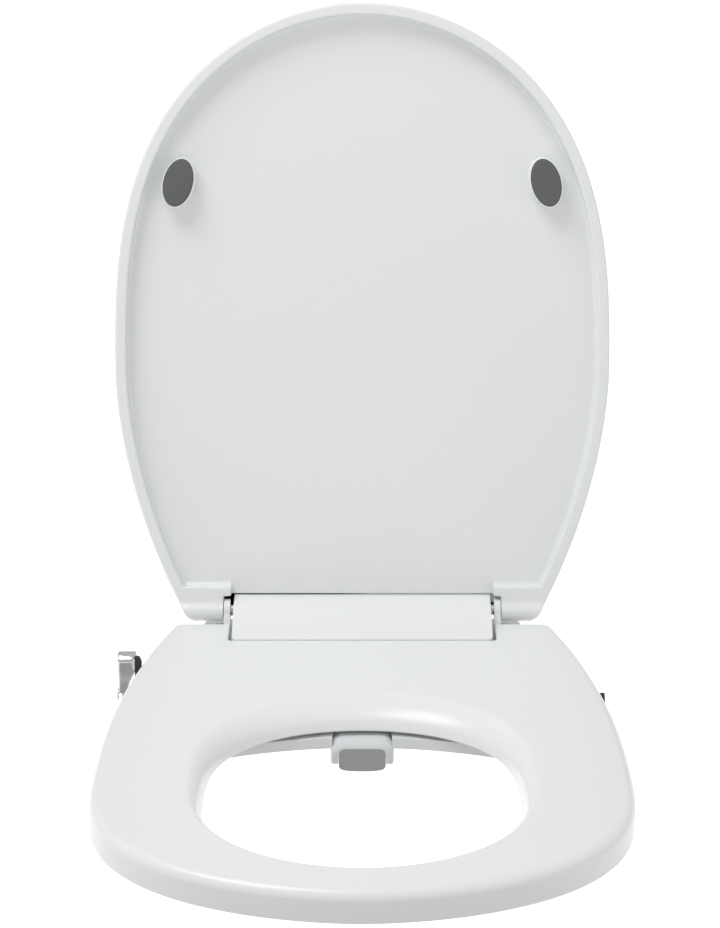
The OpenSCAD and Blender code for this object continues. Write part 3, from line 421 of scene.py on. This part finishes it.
def lid_outlines():
    """Outer outline of the closed lid with its two knuckle lobes, and the recess's outline,
    point by point. Also the depth of each point's rounded back edge, and which points lie
    over the hinge cover, where the rim is left out."""
    s = sizes("lid_sizes")
    notch = sizes("seat_sizes").notch_half
    lobe_x, gate_x, lobe_y = notch + LOBE_OUT, notch - GATE_IN, KNUCKLE_R
    middle = np.array([0, -s.wide_at])

    def outline_at(t):
        return bow(t, s.half_w, s.bow, s.tail, LID_POWERS) + middle

    turn = bow_angle(s.wide_at - BOW_BEND, s.tail, LID_POWERS[3])
    end = bow_angle(s.wide_at + BOW_END, s.tail, LID_POWERS[3])
    bow_long = outline_at(even_angles(outline_at, turn, 190))
    bow_short = outline_at(np.linspace(turn, end, 26)[1:])
    corner_t = bow_angle(s.wide_at + lobe_y, s.tail, LID_POWERS[3])
    corner = outline_at(np.array([corner_t]))[0]
    round_out = arc_corner(corner, bow_short[-1], corner - [0.02, 0], LOBE_R, 14)[1:]
    bottom = np.linspace(round_out[-1] - [0.0008, 0], [lobe_x + 0.0026, lobe_y], 20)
    heel = np.array([lobe_x, lobe_y])
    round_in = arc_corner(heel, heel + [0.01, 0], heel - [0, 0.01], HEEL_R, 5)
    flank = np.linspace(round_in[-1] - [0, 0.0008], [lobe_x, -s.cut + 0.0012], 16)
    step = np.linspace([lobe_x - 0.0008, -s.cut + 0.0006], [gate_x + 0.0003, -s.cut], 5)
    rear = np.linspace([gate_x, -s.cut], [0, -s.cut], 60)
    stretches = (bow_short, round_out, bottom, round_in, flank, step, rear)
    tangent = np.gradient(bow_long, axis=0)
    inward = unit_rows(np.stack([-tangent[:, 1], tangent[:, 0]], -1))
    inner_long = bow_long + inward * s.rim
    inner_x, ledge_y = inner_long[-1]
    stops = (inner_x, inner_x - 0.003, *LEDGE_STOPS, gate_x + LEDGE_STEP, 0)
    inner = [inner_long]
    for k, points in enumerate(stretches):
        x = np.linspace(stops[k] - LEDGE_STEP, stops[k + 1], len(points))
        inner.append(np.stack([x, np.full(len(points), ledge_y)], -1))
    outer = [bow_long, *stretches]
    counts = [len(points) for points in outer]
    depth = np.concatenate([
        np.full(counts[0] + counts[1], BACK_ROUND),
        BACK_ROUND * (1 - smooth_step(np.linspace(0, 1, counts[2]))),
        np.full(counts[3], 0.0),
        np.linspace(0, 0.001, counts[4]),
        np.full(counts[5], 0.001),
        np.full(counts[6], 0.0012),
        np.full(counts[7], 0.0022),
    ])
    gate = np.concatenate([np.zeros(sum(counts[:-1])), np.ones(counts[-1])])
    depth, gate = (np.concatenate([values, values[-2:0:-1]]) for values in (depth, gate))
    return both_halves(np.concatenate(outer)), both_halves(np.concatenate(inner)), depth, gate


def lid_mesh():
    """The lid: a panel with a flat rim round a coved recess and a rounded back.
    Its two rear lobes swell into barrels round the hinge axis, and between them the rim is
    left out. Front and back heights are functions of the distance from the axis."""
    s = sizes("lid_sizes")
    outer, inner, depth, gate = lid_outlines()
    rim, floor = s.rim_rel, s.rim_rel + s.recess
    back, r, cove, lip = floor + s.panel, KNUCKLE_R, 0.0035, 0.0012

    def barrel_of(y):
        return np.sqrt(np.maximum(r * r - np.maximum(y, 0) ** 2, 0))

    def front_of(y):
        ahead = rim - (r + rim) * smooth_step((y + BARREL_REACH) / BARREL_REACH)
        return np.where(y > 0, -barrel_of(y), ahead) * (1 - gate) + floor * gate

    def back_of(y):
        ahead = r + (back - r) * smooth_step(-y / BACK_REACH)
        return np.where(y > 0, barrel_of(y), ahead)

    def open_floor(z):
        return z * (1 - gate) + floor * gate

    rings = [raised(moved_in(inner, cove + 0.0005), floor)]
    for a in quarter(9):
        edge = moved_in(inner, cove * (1 - math.sin(a)))
        rings.append(raised(edge, open_floor(floor - cove * (1 - math.cos(a)))))
    for u in (0.4, 0.8, 1.0):
        rings.append(raised(inner, open_floor(floor - cove - (s.recess - cove - lip) * u)))
    for a in quarter(5)[1:]:
        edge = moved_in(inner, -lip * (1 - math.cos(a)))
        rings.append(raised(edge, open_floor(rim + lip * (1 - math.sin(a)))))
    near = moved_in(inner, -lip)
    edge_r = np.minimum(0.002, depth * 0.4)
    far = moved_in(outer, edge_r)
    for u in np.linspace(0, 1, 14)[1:-1]:
        ring = near + (far - near) * u
        rings.append(raised(ring, front_of(ring[:, 1])))
    for a in quarter(6):
        ring = moved_in(outer, edge_r * (1 - math.sin(a)))
        lift = edge_r * (1 - math.cos(a)) * (1 - 0.8 * gate)
        rings.append(raised(ring, front_of(ring[:, 1]) + lift))
    for a in quarter(14):
        ring = moved_in(outer, r * (1 - math.cos(a)))
        rings.append(raised(ring, back_of(ring[:, 1]) - depth * (1 - math.sin(a))))
    ring = moved_in(outer, r + 0.0008)
    rings.append(raised(ring, back_of(ring[:, 1])))
    points, faces = loft(rings, False)
    return opened(points), faces


# ---- Bumpers, cover, hood, guard and lever ----

BUMPER_HALF_W, BUMPER_HALF_L = 0.0122, 0.0194
BUMPER_WALL, PAD_GAP = 0.001, 0.0001
BUMPER_TILT = math.radians(14.5)
# the cover's crest, forward of its rear, and the height of its front edge
COVER_CREST, COVER_FRONT_Z = 0.008, 0.0286


def superellipse(half_x, half_y, power, count):
    """A rounded outline: |x/a|^n + |y/b|^n = 1, with its points spread by angle."""
    t = np.linspace(0, 2 * math.pi, count, endpoint=False)
    c, s = np.cos(t), np.sin(t)
    x = half_x * np.sign(c) * np.abs(c) ** (2 / power)
    y = half_y * np.sign(s) * np.abs(s) ** (2 / power)
    return np.stack([x, y], -1)


def bumper_place(side):
    """Moves points from a bumper's own frame to the open lid. Its top leans to the middle."""
    s = sizes("lid_sizes")
    tilt = -side * BUMPER_TILT
    c, d = math.cos(tilt), math.sin(tilt)

    def place(points):
        x, y, z = points.T
        moved = np.stack([x * c - y * d + side * s.bumper_side, x * d + y * c - s.bumper_out, z], -1)
        return opened(moved)

    return place


def bumper_oval(inset):
    """A bumper socket's oval outline, moved inwards."""
    return superellipse(BUMPER_HALF_W - inset, BUMPER_HALF_L - inset, 2.0, 96)


def bumper_socket_mesh(side):
    """An oval tube with a rounded lip, standing on the recess's floor."""
    s = sizes("lid_sizes")
    floor, lip = s.rim_rel + s.recess + 0.0004, s.rim_rel - 0.0010
    outer, bore = bumper_oval(0), bumper_oval(BUMPER_WALL)
    middle = (outer + bore) / 2
    rings = [
        raised(moved_in(outer, -0.0009), floor),
        raised(moved_in(outer, -0.0003), floor - 0.0009),
        raised(outer, floor - 0.0022),
        raised(outer, lip + 0.0008),
    ]
    for a in np.linspace(0, math.pi, 9):
        crown = lip + 0.0006 * (1 - math.sin(a))
        rings.append(raised(middle + (outer - middle) * math.cos(a), crown))
    rings += [raised(bore, lip + 0.004), raised(bore, floor)]
    points, faces = loft(rings, True)
    return bumper_place(side)(points), faces


def bumper_pad_mesh(side):
    """The soft pad in a socket, with a rounded edge and a slightly domed face."""
    s = sizes("lid_sizes")
    face, foot, edge_r = s.rim_rel - 0.0017, s.rim_rel + 0.0075, 0.001
    shoulder = face + 0.0014
    edge = bumper_oval(BUMPER_WALL + PAD_GAP)
    rings = [raised(edge, foot), raised(edge, shoulder)]
    for a in quarter(7)[1:]:
        ring = moved_in(edge, edge_r * (1 - math.cos(a)))
        rings.append(raised(ring, shoulder - edge_r * math.sin(a)))
    for u in (0.8, 0.6, 0.4, 0.2, 0.05):
        rings.append(raised(edge * u * 0.87, face + 0.0004 * u * u))
    points, faces = loft(rings, False)
    return bumper_place(side)(points), faces


def cover_section(front, rear, foot, thickness):
    """The hinge cover's section in Y and Z between two Y values: front wall, a gentle arch
    whose height falls with the distance from its crest to the power 1.8, and a rear wall."""
    crest_y = COVER_HIGH.y - COVER_CREST
    rise = COVER_HIGH.z - COVER_FRONT_Z
    reach = crest_y - COVER_LOW.y

    def arch_z(y):
        fall = (np.abs(crest_y - y) / reach) ** 1.8
        return COVER_FRONT_Z + rise * (1 - fall) - thickness

    edge, tail = 0.0014, 0.0055
    tail_drop = tail * 0.9
    up = np.linspace(foot, arch_z(front + edge) - edge, 6)
    a = quarter(7)[1:]
    wall = np.stack([np.full(6, front), up], -1)
    bend = np.stack([front + edge * (1 - np.cos(a)), up[-1] + edge * np.sin(a)], -1)
    y = np.linspace(front + edge, rear - tail, 46)[1:]
    top = np.stack([y, arch_z(y)], -1)
    end_z = arch_z(rear - tail)
    drop = np.stack([rear - tail + tail * np.sin(a), end_z - tail_drop * (1 - np.cos(a))], -1)
    down = np.linspace(end_z - tail_drop, foot, 6)[1:]
    return np.concatenate([wall, bend, top, drop, np.stack([np.full(5, rear), down], -1)])


def cover_mesh():
    """The hinge cover: an arched shell whose front corners are rounded in plan."""
    half, wall, corner = COVER_HIGH.x, 0.002, 0.004
    foot = COVER_LOW.z
    stations = []
    for a in quarter(9):
        stations.append((half - corner * (1 - math.sin(a)), corner * (1 - math.cos(a))))
    xs = [(-x, pull) for x, pull in stations[::-1]]
    xs += [(x, 0) for x in np.linspace(-half + corner, half - corner, 30)[1:-1]] + stations
    rings = []
    for k, (x, pull) in enumerate(xs):
        section = cover_section(COVER_LOW.y + pull, COVER_HIGH.y - pull, foot, 0)
        inset = 0.0009 * max(0, 1 - min(k, len(xs) - 1 - k) / 2) ** 2
        section = section + np.where(section[:, 1:] > foot + 0.001, [[0, -inset]], [[0, 0]])
        rings.append(np.column_stack([np.full(len(section), x), section]))
    inner = []
    for x in np.linspace(-half + wall, half - wall, 24):
        section = cover_section(COVER_LOW.y + wall, COVER_HIGH.y - wall, foot, wall)
        inner.append(np.column_stack([np.full(len(section), x), section]))
    around = len(rings[0])
    points = np.concatenate(rings + inner)
    faces = grid_faces(len(rings), around, False, False)
    start = len(rings) * around
    faces += [[start + v for v in face[::-1]] for face in grid_faces(len(inner), around, False, False)]
    last, far = (len(rings) - 1) * around, start + (len(inner) - 1) * around
    faces.append(list(range(around - 1, -1, -1)))
    faces.append(list(range(last, last + around)))
    faces.append(list(range(start, start + around)))
    faces.append(list(range(far + around - 1, far - 1, -1)))
    for edge in (0, around - 1):
        outer_line = [k * around + edge for k in range(len(rings))]
        inner_line = [start + k * around + edge for k in range(len(inner))]
        rim = outer_line + inner_line[::-1]
        faces.append(rim if edge else rim[::-1])
    return points, faces


def plate_mesh(outline, low, high, edge, place):
    """A flat outline between two levels, with its edges rounded by a quarter circle."""
    rings = []
    for a in quarter(6):
        ring = moved_in(outline, edge * (1 - math.sin(a)))
        rings.append(raised(ring, low + edge * (1 - math.cos(a))))
    for a in quarter(6)[::-1]:
        ring = moved_in(outline, edge * (1 - math.sin(a)))
        rings.append(raised(ring, high - edge * (1 - math.cos(a))))
    points, faces = loft(rings, False)
    return place(points), faces


def arch(half_w, top, corner, foot):
    """An arch in X and Z from its left foot over two rounded corners to its right foot."""
    a = quarter(14)
    up = np.linspace(foot, top - corner, 8)[:-1]
    left = np.stack([np.full(7, -half_w), up], -1)
    bend = np.stack([-half_w + corner * (1 - np.cos(a)), top - corner * (1 - np.sin(a))], -1)
    across = np.stack([np.linspace(-half_w + corner, half_w - corner, 12)[1:-1], np.full(10, top)], -1)
    half = np.concatenate([left, bend])
    return np.concatenate([half, across, half[::-1] * [-1, 1]])


def hood_mesh():
    """The nozzle hood: an arched shell, open underneath. Its top falls to the front along a
    quarter ellipse and its opening narrows, so that the guard closes it."""
    low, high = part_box("nozzle_hood")
    rear, front, top = high.y, low.y + 0.0012, high.z
    half, foot, nose = 0.0228, -0.0135, 0.0135
    rings = []
    straight = np.linspace(rear, front + nose, 6)[:-1]
    for y in np.concatenate([straight, front + nose * (1 - np.sin(quarter(15)))]):
        near = np.clip((front + nose - y) / nose, 0, 1)
        crest = top - 0.0082 * (1 - math.sqrt(max(0, 1 - near**2.2)))
        outer = arch(half - 0.0012 * near**6, crest, 0.0088 - 0.001 * near, foot)
        inner = arch(half - 0.002 - 0.0036 * near**4, crest - 0.0019, 0.0068 - 0.003 * near, foot)
        ring = np.concatenate([outer, inner[::-1]])
        rings.append(np.stack([ring[:, 0], np.full(len(ring), y), ring[:, 1]], -1))
    return loft(rings, False)


def guard_mesh():
    """The nozzle guard: a thin plate with rounded corners and a slightly bowed lower edge."""
    low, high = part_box("nozzle_guard")
    half_w, half_h = high.x, (high.z - low.z) / 2
    outline = superellipse(half_w, half_h, 7.0, 140)
    outline[:, 1] += np.where(outline[:, 1] < 0, 0.0012 * (outline[:, 0] / half_w) ** 2, 0)
    middle = (high.z + low.z) / 2
    front = GUARD_PIN.y - 0.001

    def place(points):
        x, z, y = points.T
        return np.stack([x, front + y, z + middle], -1)

    return plate_mesh(outline, low=0.0, high=0.002, edge=0.0006, place=place)


def lever_mesh():
    """The lever: rounded sections carried up from its hub. The paddle widens towards the top,
    its inner side slants back, and its head bends to the rear."""
    low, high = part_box("lever_paddle")
    t = np.linspace(0, 1, 44)
    foot = LEVER.z + 0.002
    height = foot + (high.z - foot) * t
    swell = smooth_step((t - 0.1) / 0.6)
    front_w = 0.0074 + 0.0058 * swell
    rear_w = 0.0074 + 0.0066 * swell
    front = -0.0035 - 0.0038 * swell + 0.005 * np.clip((t - 0.84) / 0.16, 0, 1) ** 2
    slant = smooth_step((t - 0.2) / 0.6)
    back = 0.0035 - 0.0030 * slant + 0.003 * np.clip((t - 0.8) / 0.2, 0, 1) ** 2
    across, along = ((superellipse(1, 1, 5.0, 64) + 1) / 2).T
    rings = []
    for k in range(len(t)):
        x = low.x + across * (front_w[k] + (rear_w[k] - front_w[k]) * along)
        y = LEVER.y + front[k] + (back[k] - front[k]) * along
        rings.append(np.stack([x, y, np.full(len(x), height[k])], -1))
    # the flat end of the head, in rings that shrink towards its middle
    head = rings[-1]
    middle = head.mean(0)
    for a in quarter(6)[1:-1]:
        share = 0.75 + 0.25 * math.cos(a)
        rings.append(middle + (head - middle) * [share, share, 1])
    return loft(rings, False)


def lever_shade_slab_mesh():
    """A dark slab of painted shade on the paddle's inner side, where it lies in shadow beside the seat: a tapered
    slab whose outline stands in X and Z.
    """
    low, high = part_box("lever_paddle")
    x0 = low.x + 0.0128
    corners = np.array([
        [0, -0.0012], [0.0036, -0.0022], [0.0052, -0.0062], [0.0050, -0.0105], [0, -0.0190]
    ])
    sides = zip(corners, np.roll(corners, -1, 0))
    outline = np.concatenate([np.linspace(a, b, 8)[:-1] for a, b in sides])[::-1]

    def place(points):
        x, z, y = points.T
        return np.stack([x0 + x, LEVER.y + y, high.z + z], -1)

    return plate_mesh(outline, low=-0.0052, high=-0.0005, edge=0.0004, place=place)


def softened(node, width):
    """A copy of a CAD node whose loose triangles are joined and whose edges are rounded."""
    source = NODES[node]
    mesh = source.data.copy()
    mesh.name = node + "_soft"
    work = bmesh.new()
    work.from_mesh(mesh)
    bmesh.ops.remove_doubles(work, verts=work.verts, dist=2e-6)
    bmesh.ops.dissolve_limit(work, angle_limit=math.radians(0.6), verts=work.verts, edges=work.edges)
    work.to_mesh(mesh)
    work.free()
    piece = bpy.data.objects.new(node + "_soft", mesh)
    bpy.context.scene.collection.objects.link(piece)
    rounder = piece.modifiers.new("rounded edges", "BEVEL")
    rounder.width = width
    rounder.segments = 3
    rounder.limit_method = "ANGLE"
    rounder.angle_limit = math.radians(40)
    rounder.use_clamp_overlap = True
    mesh.shade_smooth()
    body = next(b for b, names in frame["record"]["behaviour"]["bodies"].items() if node in names)
    finish_piece(piece, body, SLOTS[node], node)
    return piece


# ---- Materials ----


def new_material(name):
    """An empty material with a Principled shader and an output."""
    material = bpy.data.materials.new(name)
    material.use_nodes = True
    return material, material.node_tree, material.node_tree.nodes["Principled BSDF"]


def surface_group(name, fine_scale, broad_scale):
    """A node group for a moulded or cast surface, on Object coordinates.
    It mixes a colour with a slightly darker one in soft broad patches, varies roughness
    with them, and gives a fine height for the bump."""
    group = bpy.data.node_groups.new(name, "ShaderNodeTree")
    face = group.interface
    for label, kind, value in (
        ("Color", "NodeSocketColor", (0.8, 0.8, 0.8, 1)),
        ("Patch Color", "NodeSocketColor", (0.75, 0.75, 0.75, 1)),
        ("Roughness", "NodeSocketFloat", 0.2),
        ("Roughness Spread", "NodeSocketFloat", 0.05),
    ):
        socket = face.new_socket(name=label, in_out="INPUT", socket_type=kind)
        socket.default_value = value
    for label, kind in (
        ("Color", "NodeSocketColor"),
        ("Roughness", "NodeSocketFloat"),
        ("Height", "NodeSocketFloat"),
    ):
        face.new_socket(name=label, in_out="OUTPUT", socket_type=kind)
    nodes, links = group.nodes, group.links
    inputs = nodes.new("NodeGroupInput")
    outputs = nodes.new("NodeGroupOutput")
    place = nodes.new("ShaderNodeTexCoord")
    broad = nodes.new("ShaderNodeTexNoise")
    broad.inputs["Scale"].default_value = broad_scale
    broad.inputs["Detail"].default_value = 4
    fine = nodes.new("ShaderNodeTexNoise")
    fine.inputs["Scale"].default_value = fine_scale
    fine.inputs["Detail"].default_value = 3
    mix = nodes.new("ShaderNodeMix")
    mix.data_type = "RGBA"
    spread = nodes.new("ShaderNodeMath")
    spread.operation = "MULTIPLY_ADD"
    links.new(place.outputs["Object"], broad.inputs["Vector"])
    links.new(place.outputs["Object"], fine.inputs["Vector"])
    links.new(broad.outputs["Fac"], mix.inputs["Factor"])
    links.new(inputs.outputs["Color"], mix.inputs["A"])
    links.new(inputs.outputs["Patch Color"], mix.inputs["B"])
    links.new(mix.outputs["Result"], outputs.inputs["Color"])
    links.new(broad.outputs["Fac"], spread.inputs[0])
    links.new(inputs.outputs["Roughness Spread"], spread.inputs[1])
    links.new(inputs.outputs["Roughness"], spread.inputs[2])
    links.new(spread.outputs["Value"], outputs.inputs["Roughness"])
    links.new(fine.outputs["Fac"], outputs.inputs["Height"])
    return group


def finish_material(name, group, color, patch, roughness, spread, bump, height, **constants):
    """A finish: a surface group that feeds colour, roughness and bump, and fixed shader values."""
    material, tree, shader = new_material(name)
    node = tree.nodes.new("ShaderNodeGroup")
    node.node_tree = group
    node.inputs["Color"].default_value = (*color, 1)
    node.inputs["Patch Color"].default_value = (*[c * patch for c in color], 1)
    node.inputs["Roughness"].default_value = roughness
    node.inputs["Roughness Spread"].default_value = spread
    relief = tree.nodes.new("ShaderNodeBump")
    relief.inputs["Strength"].default_value = bump
    relief.inputs["Distance"].default_value = height
    tree.links.new(node.outputs["Color"], shader.inputs["Base Color"])
    tree.links.new(node.outputs["Roughness"], shader.inputs["Roughness"])
    tree.links.new(node.outputs["Height"], relief.inputs["Height"])
    tree.links.new(relief.outputs["Normal"], shader.inputs["Normal"])
    for socket, value in constants.items():
        shader.inputs[socket.replace("_", " ")].default_value = value
    return material


class BIDET_OT_finishes(bpy.types.Operator):
    """Makes every finish, named after its material slot"""

    bl_idname = "bidet.finishes"
    bl_label = "Finishes"

    def execute(self, context):
        c = sizes("finish_colours")
        moulded = surface_group("moulded_plastic", 260, 9)
        grained = surface_group("grained_rubber", 2400, 30)
        drawn = surface_group("drawn_metal", 900, 60)
        finish_material("white_plastic", moulded, c.shell, 0.985, 0.16, 0.05, 0.03, 0.0004,
                        Coat_Weight=0.35, Coat_Roughness=0.06)
        # painted shade: the lid's colour is darker than the shell's for the lid's less lit face
        finish_material("lid_plastic", moulded, c.lid, 0.985, 0.26, 0.06, 0.03, 0.0004,
                        Coat_Weight=0.2, Coat_Roughness=0.12)
        # painted shade: the base colour is darkened for its shadowed front lip
        finish_material("base_plastic", moulded, c.base, 0.97, 0.34, 0.08, 0.05, 0.0004)
        finish_material("hood_plastic", moulded, c.hood, 0.97, 0.34, 0.08, 0.05, 0.0004)
        finish_material("guard_plastic", moulded, c.guard, 0.95, 0.3, 0.08, 0.05, 0.0004)
        finish_material("inner_plastic", moulded, (0.62, 0.63, 0.64), 0.95, 0.45, 0.1, 0.06, 0.0004)
        finish_material("button_plastic", moulded, (0.3, 0.31, 0.33), 0.94, 0.42, 0.1, 0.08, 0.0004)
        finish_material("damper_plastic", moulded, (0.035, 0.035, 0.038), 1.6, 0.42, 0.1, 0.08, 0.0004)
        finish_material("black_plastic", moulded, (0.012, 0.012, 0.013), 1.8, 0.38, 0.12, 0.08, 0.0004)
        finish_material("grey_rubber", grained, c.rubber, 1.15, 0.55, 0.12, 0.12, 0.0002)
        finish_material("dark_rubber", grained, (0.02, 0.02, 0.021), 1.5, 0.6, 0.12, 0.15, 0.0002)
        finish_material("hose_plastic", moulded, (0.62, 0.64, 0.65), 0.95, 0.3, 0.1, 0.05, 0.0004,
                        Subsurface_Weight=0.15)
        finish_material("satin_metal", drawn, c.metal, 0.92, 0.34, 0.1, 0.05, 0.0001, Metallic=1.0)
        finish_material("steel_plate", drawn, (0.5, 0.5, 0.51), 0.88, 0.32, 0.14, 0.08, 0.0001,
                        Metallic=1.0, Anisotropic=0.5)
        finish_material("bright_steel", drawn, (0.56, 0.56, 0.57), 0.9, 0.25, 0.1, 0.05, 0.0001,
                        Metallic=1.0)
        finish_material("brass_parts", drawn, (0.62, 0.44, 0.18), 0.88, 0.28, 0.12, 0.05, 0.0001,
                        Metallic=1.0)
        for name, node in NODES.items():
            node.data.materials.clear()
            node.data.materials.append(bpy.data.materials[SLOTS[name]])
        return {"FINISHED"}


class BIDET_OT_seat(bpy.types.Operator):
    """Builds the seat ring"""

    bl_idname = "bidet.seat"
    bl_label = "Seat Ring"

    def execute(self, context):
        points, faces = seat_ring_mesh()
        mesh_piece("seat_ring_shell", points, faces, "seat", "white_plastic", "seat_ring")
        return {"FINISHED"}


class BIDET_OT_lid(bpy.types.Operator):
    """Builds the lid with its bumpers and their sockets"""

    bl_idname = "bidet.lid"
    bl_label = "Lid"

    def execute(self, context):
        points, faces = lid_mesh()
        mesh_piece("lid_panel", points, faces, "lid", "lid_plastic", "lid_shell", "lid_knuckles")
        for side, label in ((-1, "left"), (1, "right")):
            points, faces = bumper_socket_mesh(side)
            mesh_piece("bumper_rim_" + label, points, faces, "lid", "lid_plastic",
                       "bumper_socket_" + label)
            points, faces = bumper_pad_mesh(side)
            mesh_piece("bumper_pad_" + label, points, faces, "lid", "grey_rubber",
                       "lid_bumper_" + label)
        return {"FINISHED"}


class BIDET_OT_base(bpy.types.Operator):
    """Builds the hinge cover, the guard and the hood, and rounds the edges of the plainer pieces"""

    bl_idname = "bidet.base"
    bl_label = "Base"

    def execute(self, context):
        points, faces = cover_mesh()
        mesh_piece("cover_shell", points, faces, "base", "white_plastic", "hinge_cover")
        points, faces = guard_mesh()
        mesh_piece("guard_plate", points, faces, "guard", "guard_plastic", "nozzle_guard")
        points, faces = hood_mesh()
        mesh_piece("hood_shell", points, faces, "base", "hood_plastic", "nozzle_hood")
        for node, width in (
            ("base_lower_shell", 0.0006),
            ("base_upper_shell", 0.0006),
            ("valve_housing", 0.0015),
            ("inlet_housing", 0.0015),
            ("release_button", 0.0008),
            ("mounting_plate", 0.0004),
            ("seat_bumpers", 0.001),
        ):
            softened(node, width)
        return {"FINISHED"}


class BIDET_OT_lever(bpy.types.Operator):
    """Builds the lever and a dark slab of painted shade on its inner side"""

    bl_idname = "bidet.lever"
    bl_label = "Lever"

    def execute(self, context):
        points, faces = lever_mesh()
        mesh_piece("lever_blade", points, faces, "lever", "satin_metal", "lever_paddle")
        points, faces = lever_shade_slab_mesh()
        # painted shade: a dark slab in the dark rubber finish where the paddle's inner side lies in shadow
        mesh_piece("lever_shade_slab", points, faces, "lever", "dark_rubber")
        return {"FINISHED"}


# ---- Stage ----

# camera: its place, degrees below level, and lens on a frame 36 mm high
EYE, LOOK_DOWN, LENS = (0, -1.833, 0.7586), 18, 98.92
WORLD_LIGHT = 0.55
# what the lamps face
AIM = Vector((0, -0.1, 0.15))
# the floor stands a bowl's height below the rim; it glows by emission, a painted light, with a painted shadow pool
# before the seat where the glow is dimmed
FLOOR_Z, FLOOR_HALF = -0.42, 9.0
SHADOW_POOL_Y, SHADOW_POOL_DARK, SHADOW_POOL_EDGE = -1.05, 0.6, 1.4

class BIDET_OT_stage(bpy.types.Operator):
    """Sets the floor, the light and the camera"""

    bl_idname = "bidet.stage"
    bl_label = "Stage"

    def execute(self, context):
        scene = context.scene
        camera = bpy.data.cameras.new("camera")
        camera.sensor_fit = "VERTICAL"
        camera.sensor_height = 36
        camera.lens = LENS
        camera.shift_x = -0.0024
        camera.clip_end = 30
        eye = bpy.data.objects.new("camera", camera)
        turn = Matrix.Rotation(math.radians(90 - LOOK_DOWN), 4, "X")
        eye.matrix_world = Matrix.Translation(EYE) @ turn
        scene.collection.objects.link(eye)
        scene.camera = eye
        scene.view_settings.view_transform = "Standard"
        world = bpy.data.worlds.new("studio")
        scene.world = world
        world.use_nodes = True
        background = world.node_tree.nodes["Background"]
        background.inputs["Color"].default_value = (1, 1, 1, 1)
        background.inputs["Strength"].default_value = WORLD_LIGHT
        self.lamp("key", (-0.9, -0.5, 2.3), 1.3, 26)
        self.lamp("fill", (1.7, -1.5, 1.0), 1.2, 2.5)
        self.floor()
        return {"FINISHED"}

    def lamp(self, name, place, size, power):
        """A square soft light that faces the seat."""
        light = bpy.data.lights.new(name, "AREA")
        light.size = size
        light.energy = power
        holder = bpy.data.objects.new(name, light)
        turn = (AIM - Vector(place)).to_track_quat("-Z", "Y").to_matrix().to_4x4()
        holder.matrix_world = Matrix.Translation(place) @ turn
        bpy.context.scene.collection.objects.link(holder)

    def floor(self):
        """A wide pale floor, as far below the rim as a toilet bowl stands tall. It glows white by its own
        emission, a painted light, except for a painted shadow pool under the seat's front, where the glow fades
        out; the dimmer glow there shades the front wall."""
        half = FLOOR_HALF
        corners = [(x, y, FLOOR_Z) for x, y in ((-half, -half), (half, -half), (half, half), (-half, half))]
        mesh = bpy.data.meshes.new("floor")
        mesh.from_pydata(corners, [], [[0, 1, 2, 3]])
        floor = bpy.data.objects.new("floor", mesh)
        bpy.context.scene.collection.objects.link(floor)
        material, tree, shader = new_material("floor_glow_painted_shadow")
        shader.inputs["Base Color"].default_value = (0.45, 0.45, 0.45, 1)
        shader.inputs["Roughness"].default_value = 0.9
        # painted light: the floor glows, and its glow colour below fades to black in a painted shadow pool near
        # the seat's front
        shader.inputs["Emission Strength"].default_value = 0.9
        place = tree.nodes.new("ShaderNodeTexCoord")
        away = tree.nodes.new("ShaderNodeVectorMath")
        away.operation = "DISTANCE"
        away.inputs[1].default_value = (0, SHADOW_POOL_Y, FLOOR_Z)
        glow = tree.nodes.new("ShaderNodeMapRange")
        glow.interpolation_type = "SMOOTHSTEP"
        glow.inputs["From Min"].default_value = SHADOW_POOL_DARK
        glow.inputs["From Max"].default_value = SHADOW_POOL_EDGE
        tree.links.new(place.outputs["Object"], away.inputs[0])
        tree.links.new(away.outputs["Value"], glow.inputs["Value"])
        tree.links.new(glow.outputs["Result"], shader.inputs["Emission Color"])
        mesh.materials.append(material)


class BIDET_PT_panel(bpy.types.Panel):
    """Lists the builders and their sizes in the 3D view's sidebar"""

    bl_idname = "BIDET_PT_panel"
    bl_label = "Bidet Seat"
    bl_space_type = "VIEW_3D"
    bl_region_type = "UI"
    bl_category = "Bidet Seat"

    def draw(self, context):
        for builder in BUILDERS:
            self.layout.operator(builder.bl_idname)
        for group in ("seat_sizes", "lid_sizes", "finish_colours"):
            box = self.layout.box()
            for name in getattr(context.scene, group).__annotations__:
                box.prop(getattr(context.scene, group), name)


BUILDERS = (BIDET_OT_stage, BIDET_OT_finishes, BIDET_OT_seat, BIDET_OT_lid, BIDET_OT_base, BIDET_OT_lever)
CLASSES = (SeatSizes, LidSizes, FinishColours, *BUILDERS, BIDET_PT_panel)


def register():
    """Registers the classes and the scene's groups of sizes."""
    for cls in CLASSES:
        bpy.utils.register_class(cls)
    bpy.types.Scene.seat_sizes = bpy.props.PointerProperty(type=SeatSizes)
    bpy.types.Scene.lid_sizes = bpy.props.PointerProperty(type=LidSizes)
    bpy.types.Scene.finish_colours = bpy.props.PointerProperty(type=FinishColours)


def unregister():
    """Removes them again."""
    del bpy.types.Scene.finish_colours
    del bpy.types.Scene.lid_sizes
    del bpy.types.Scene.seat_sizes
    for cls in reversed(CLASSES):
        bpy.utils.unregister_class(cls)


def main():
    """Registers the builders and the scene's groups of sizes, and builds everything in order."""
    register()
    bpy.ops.bidet.stage()
    bpy.ops.bidet.finishes()
    bpy.ops.bidet.seat()
    bpy.ops.bidet.lid()
    bpy.ops.bidet.base()
    bpy.ops.bidet.lever()


if __name__ == "__main__":
    main()
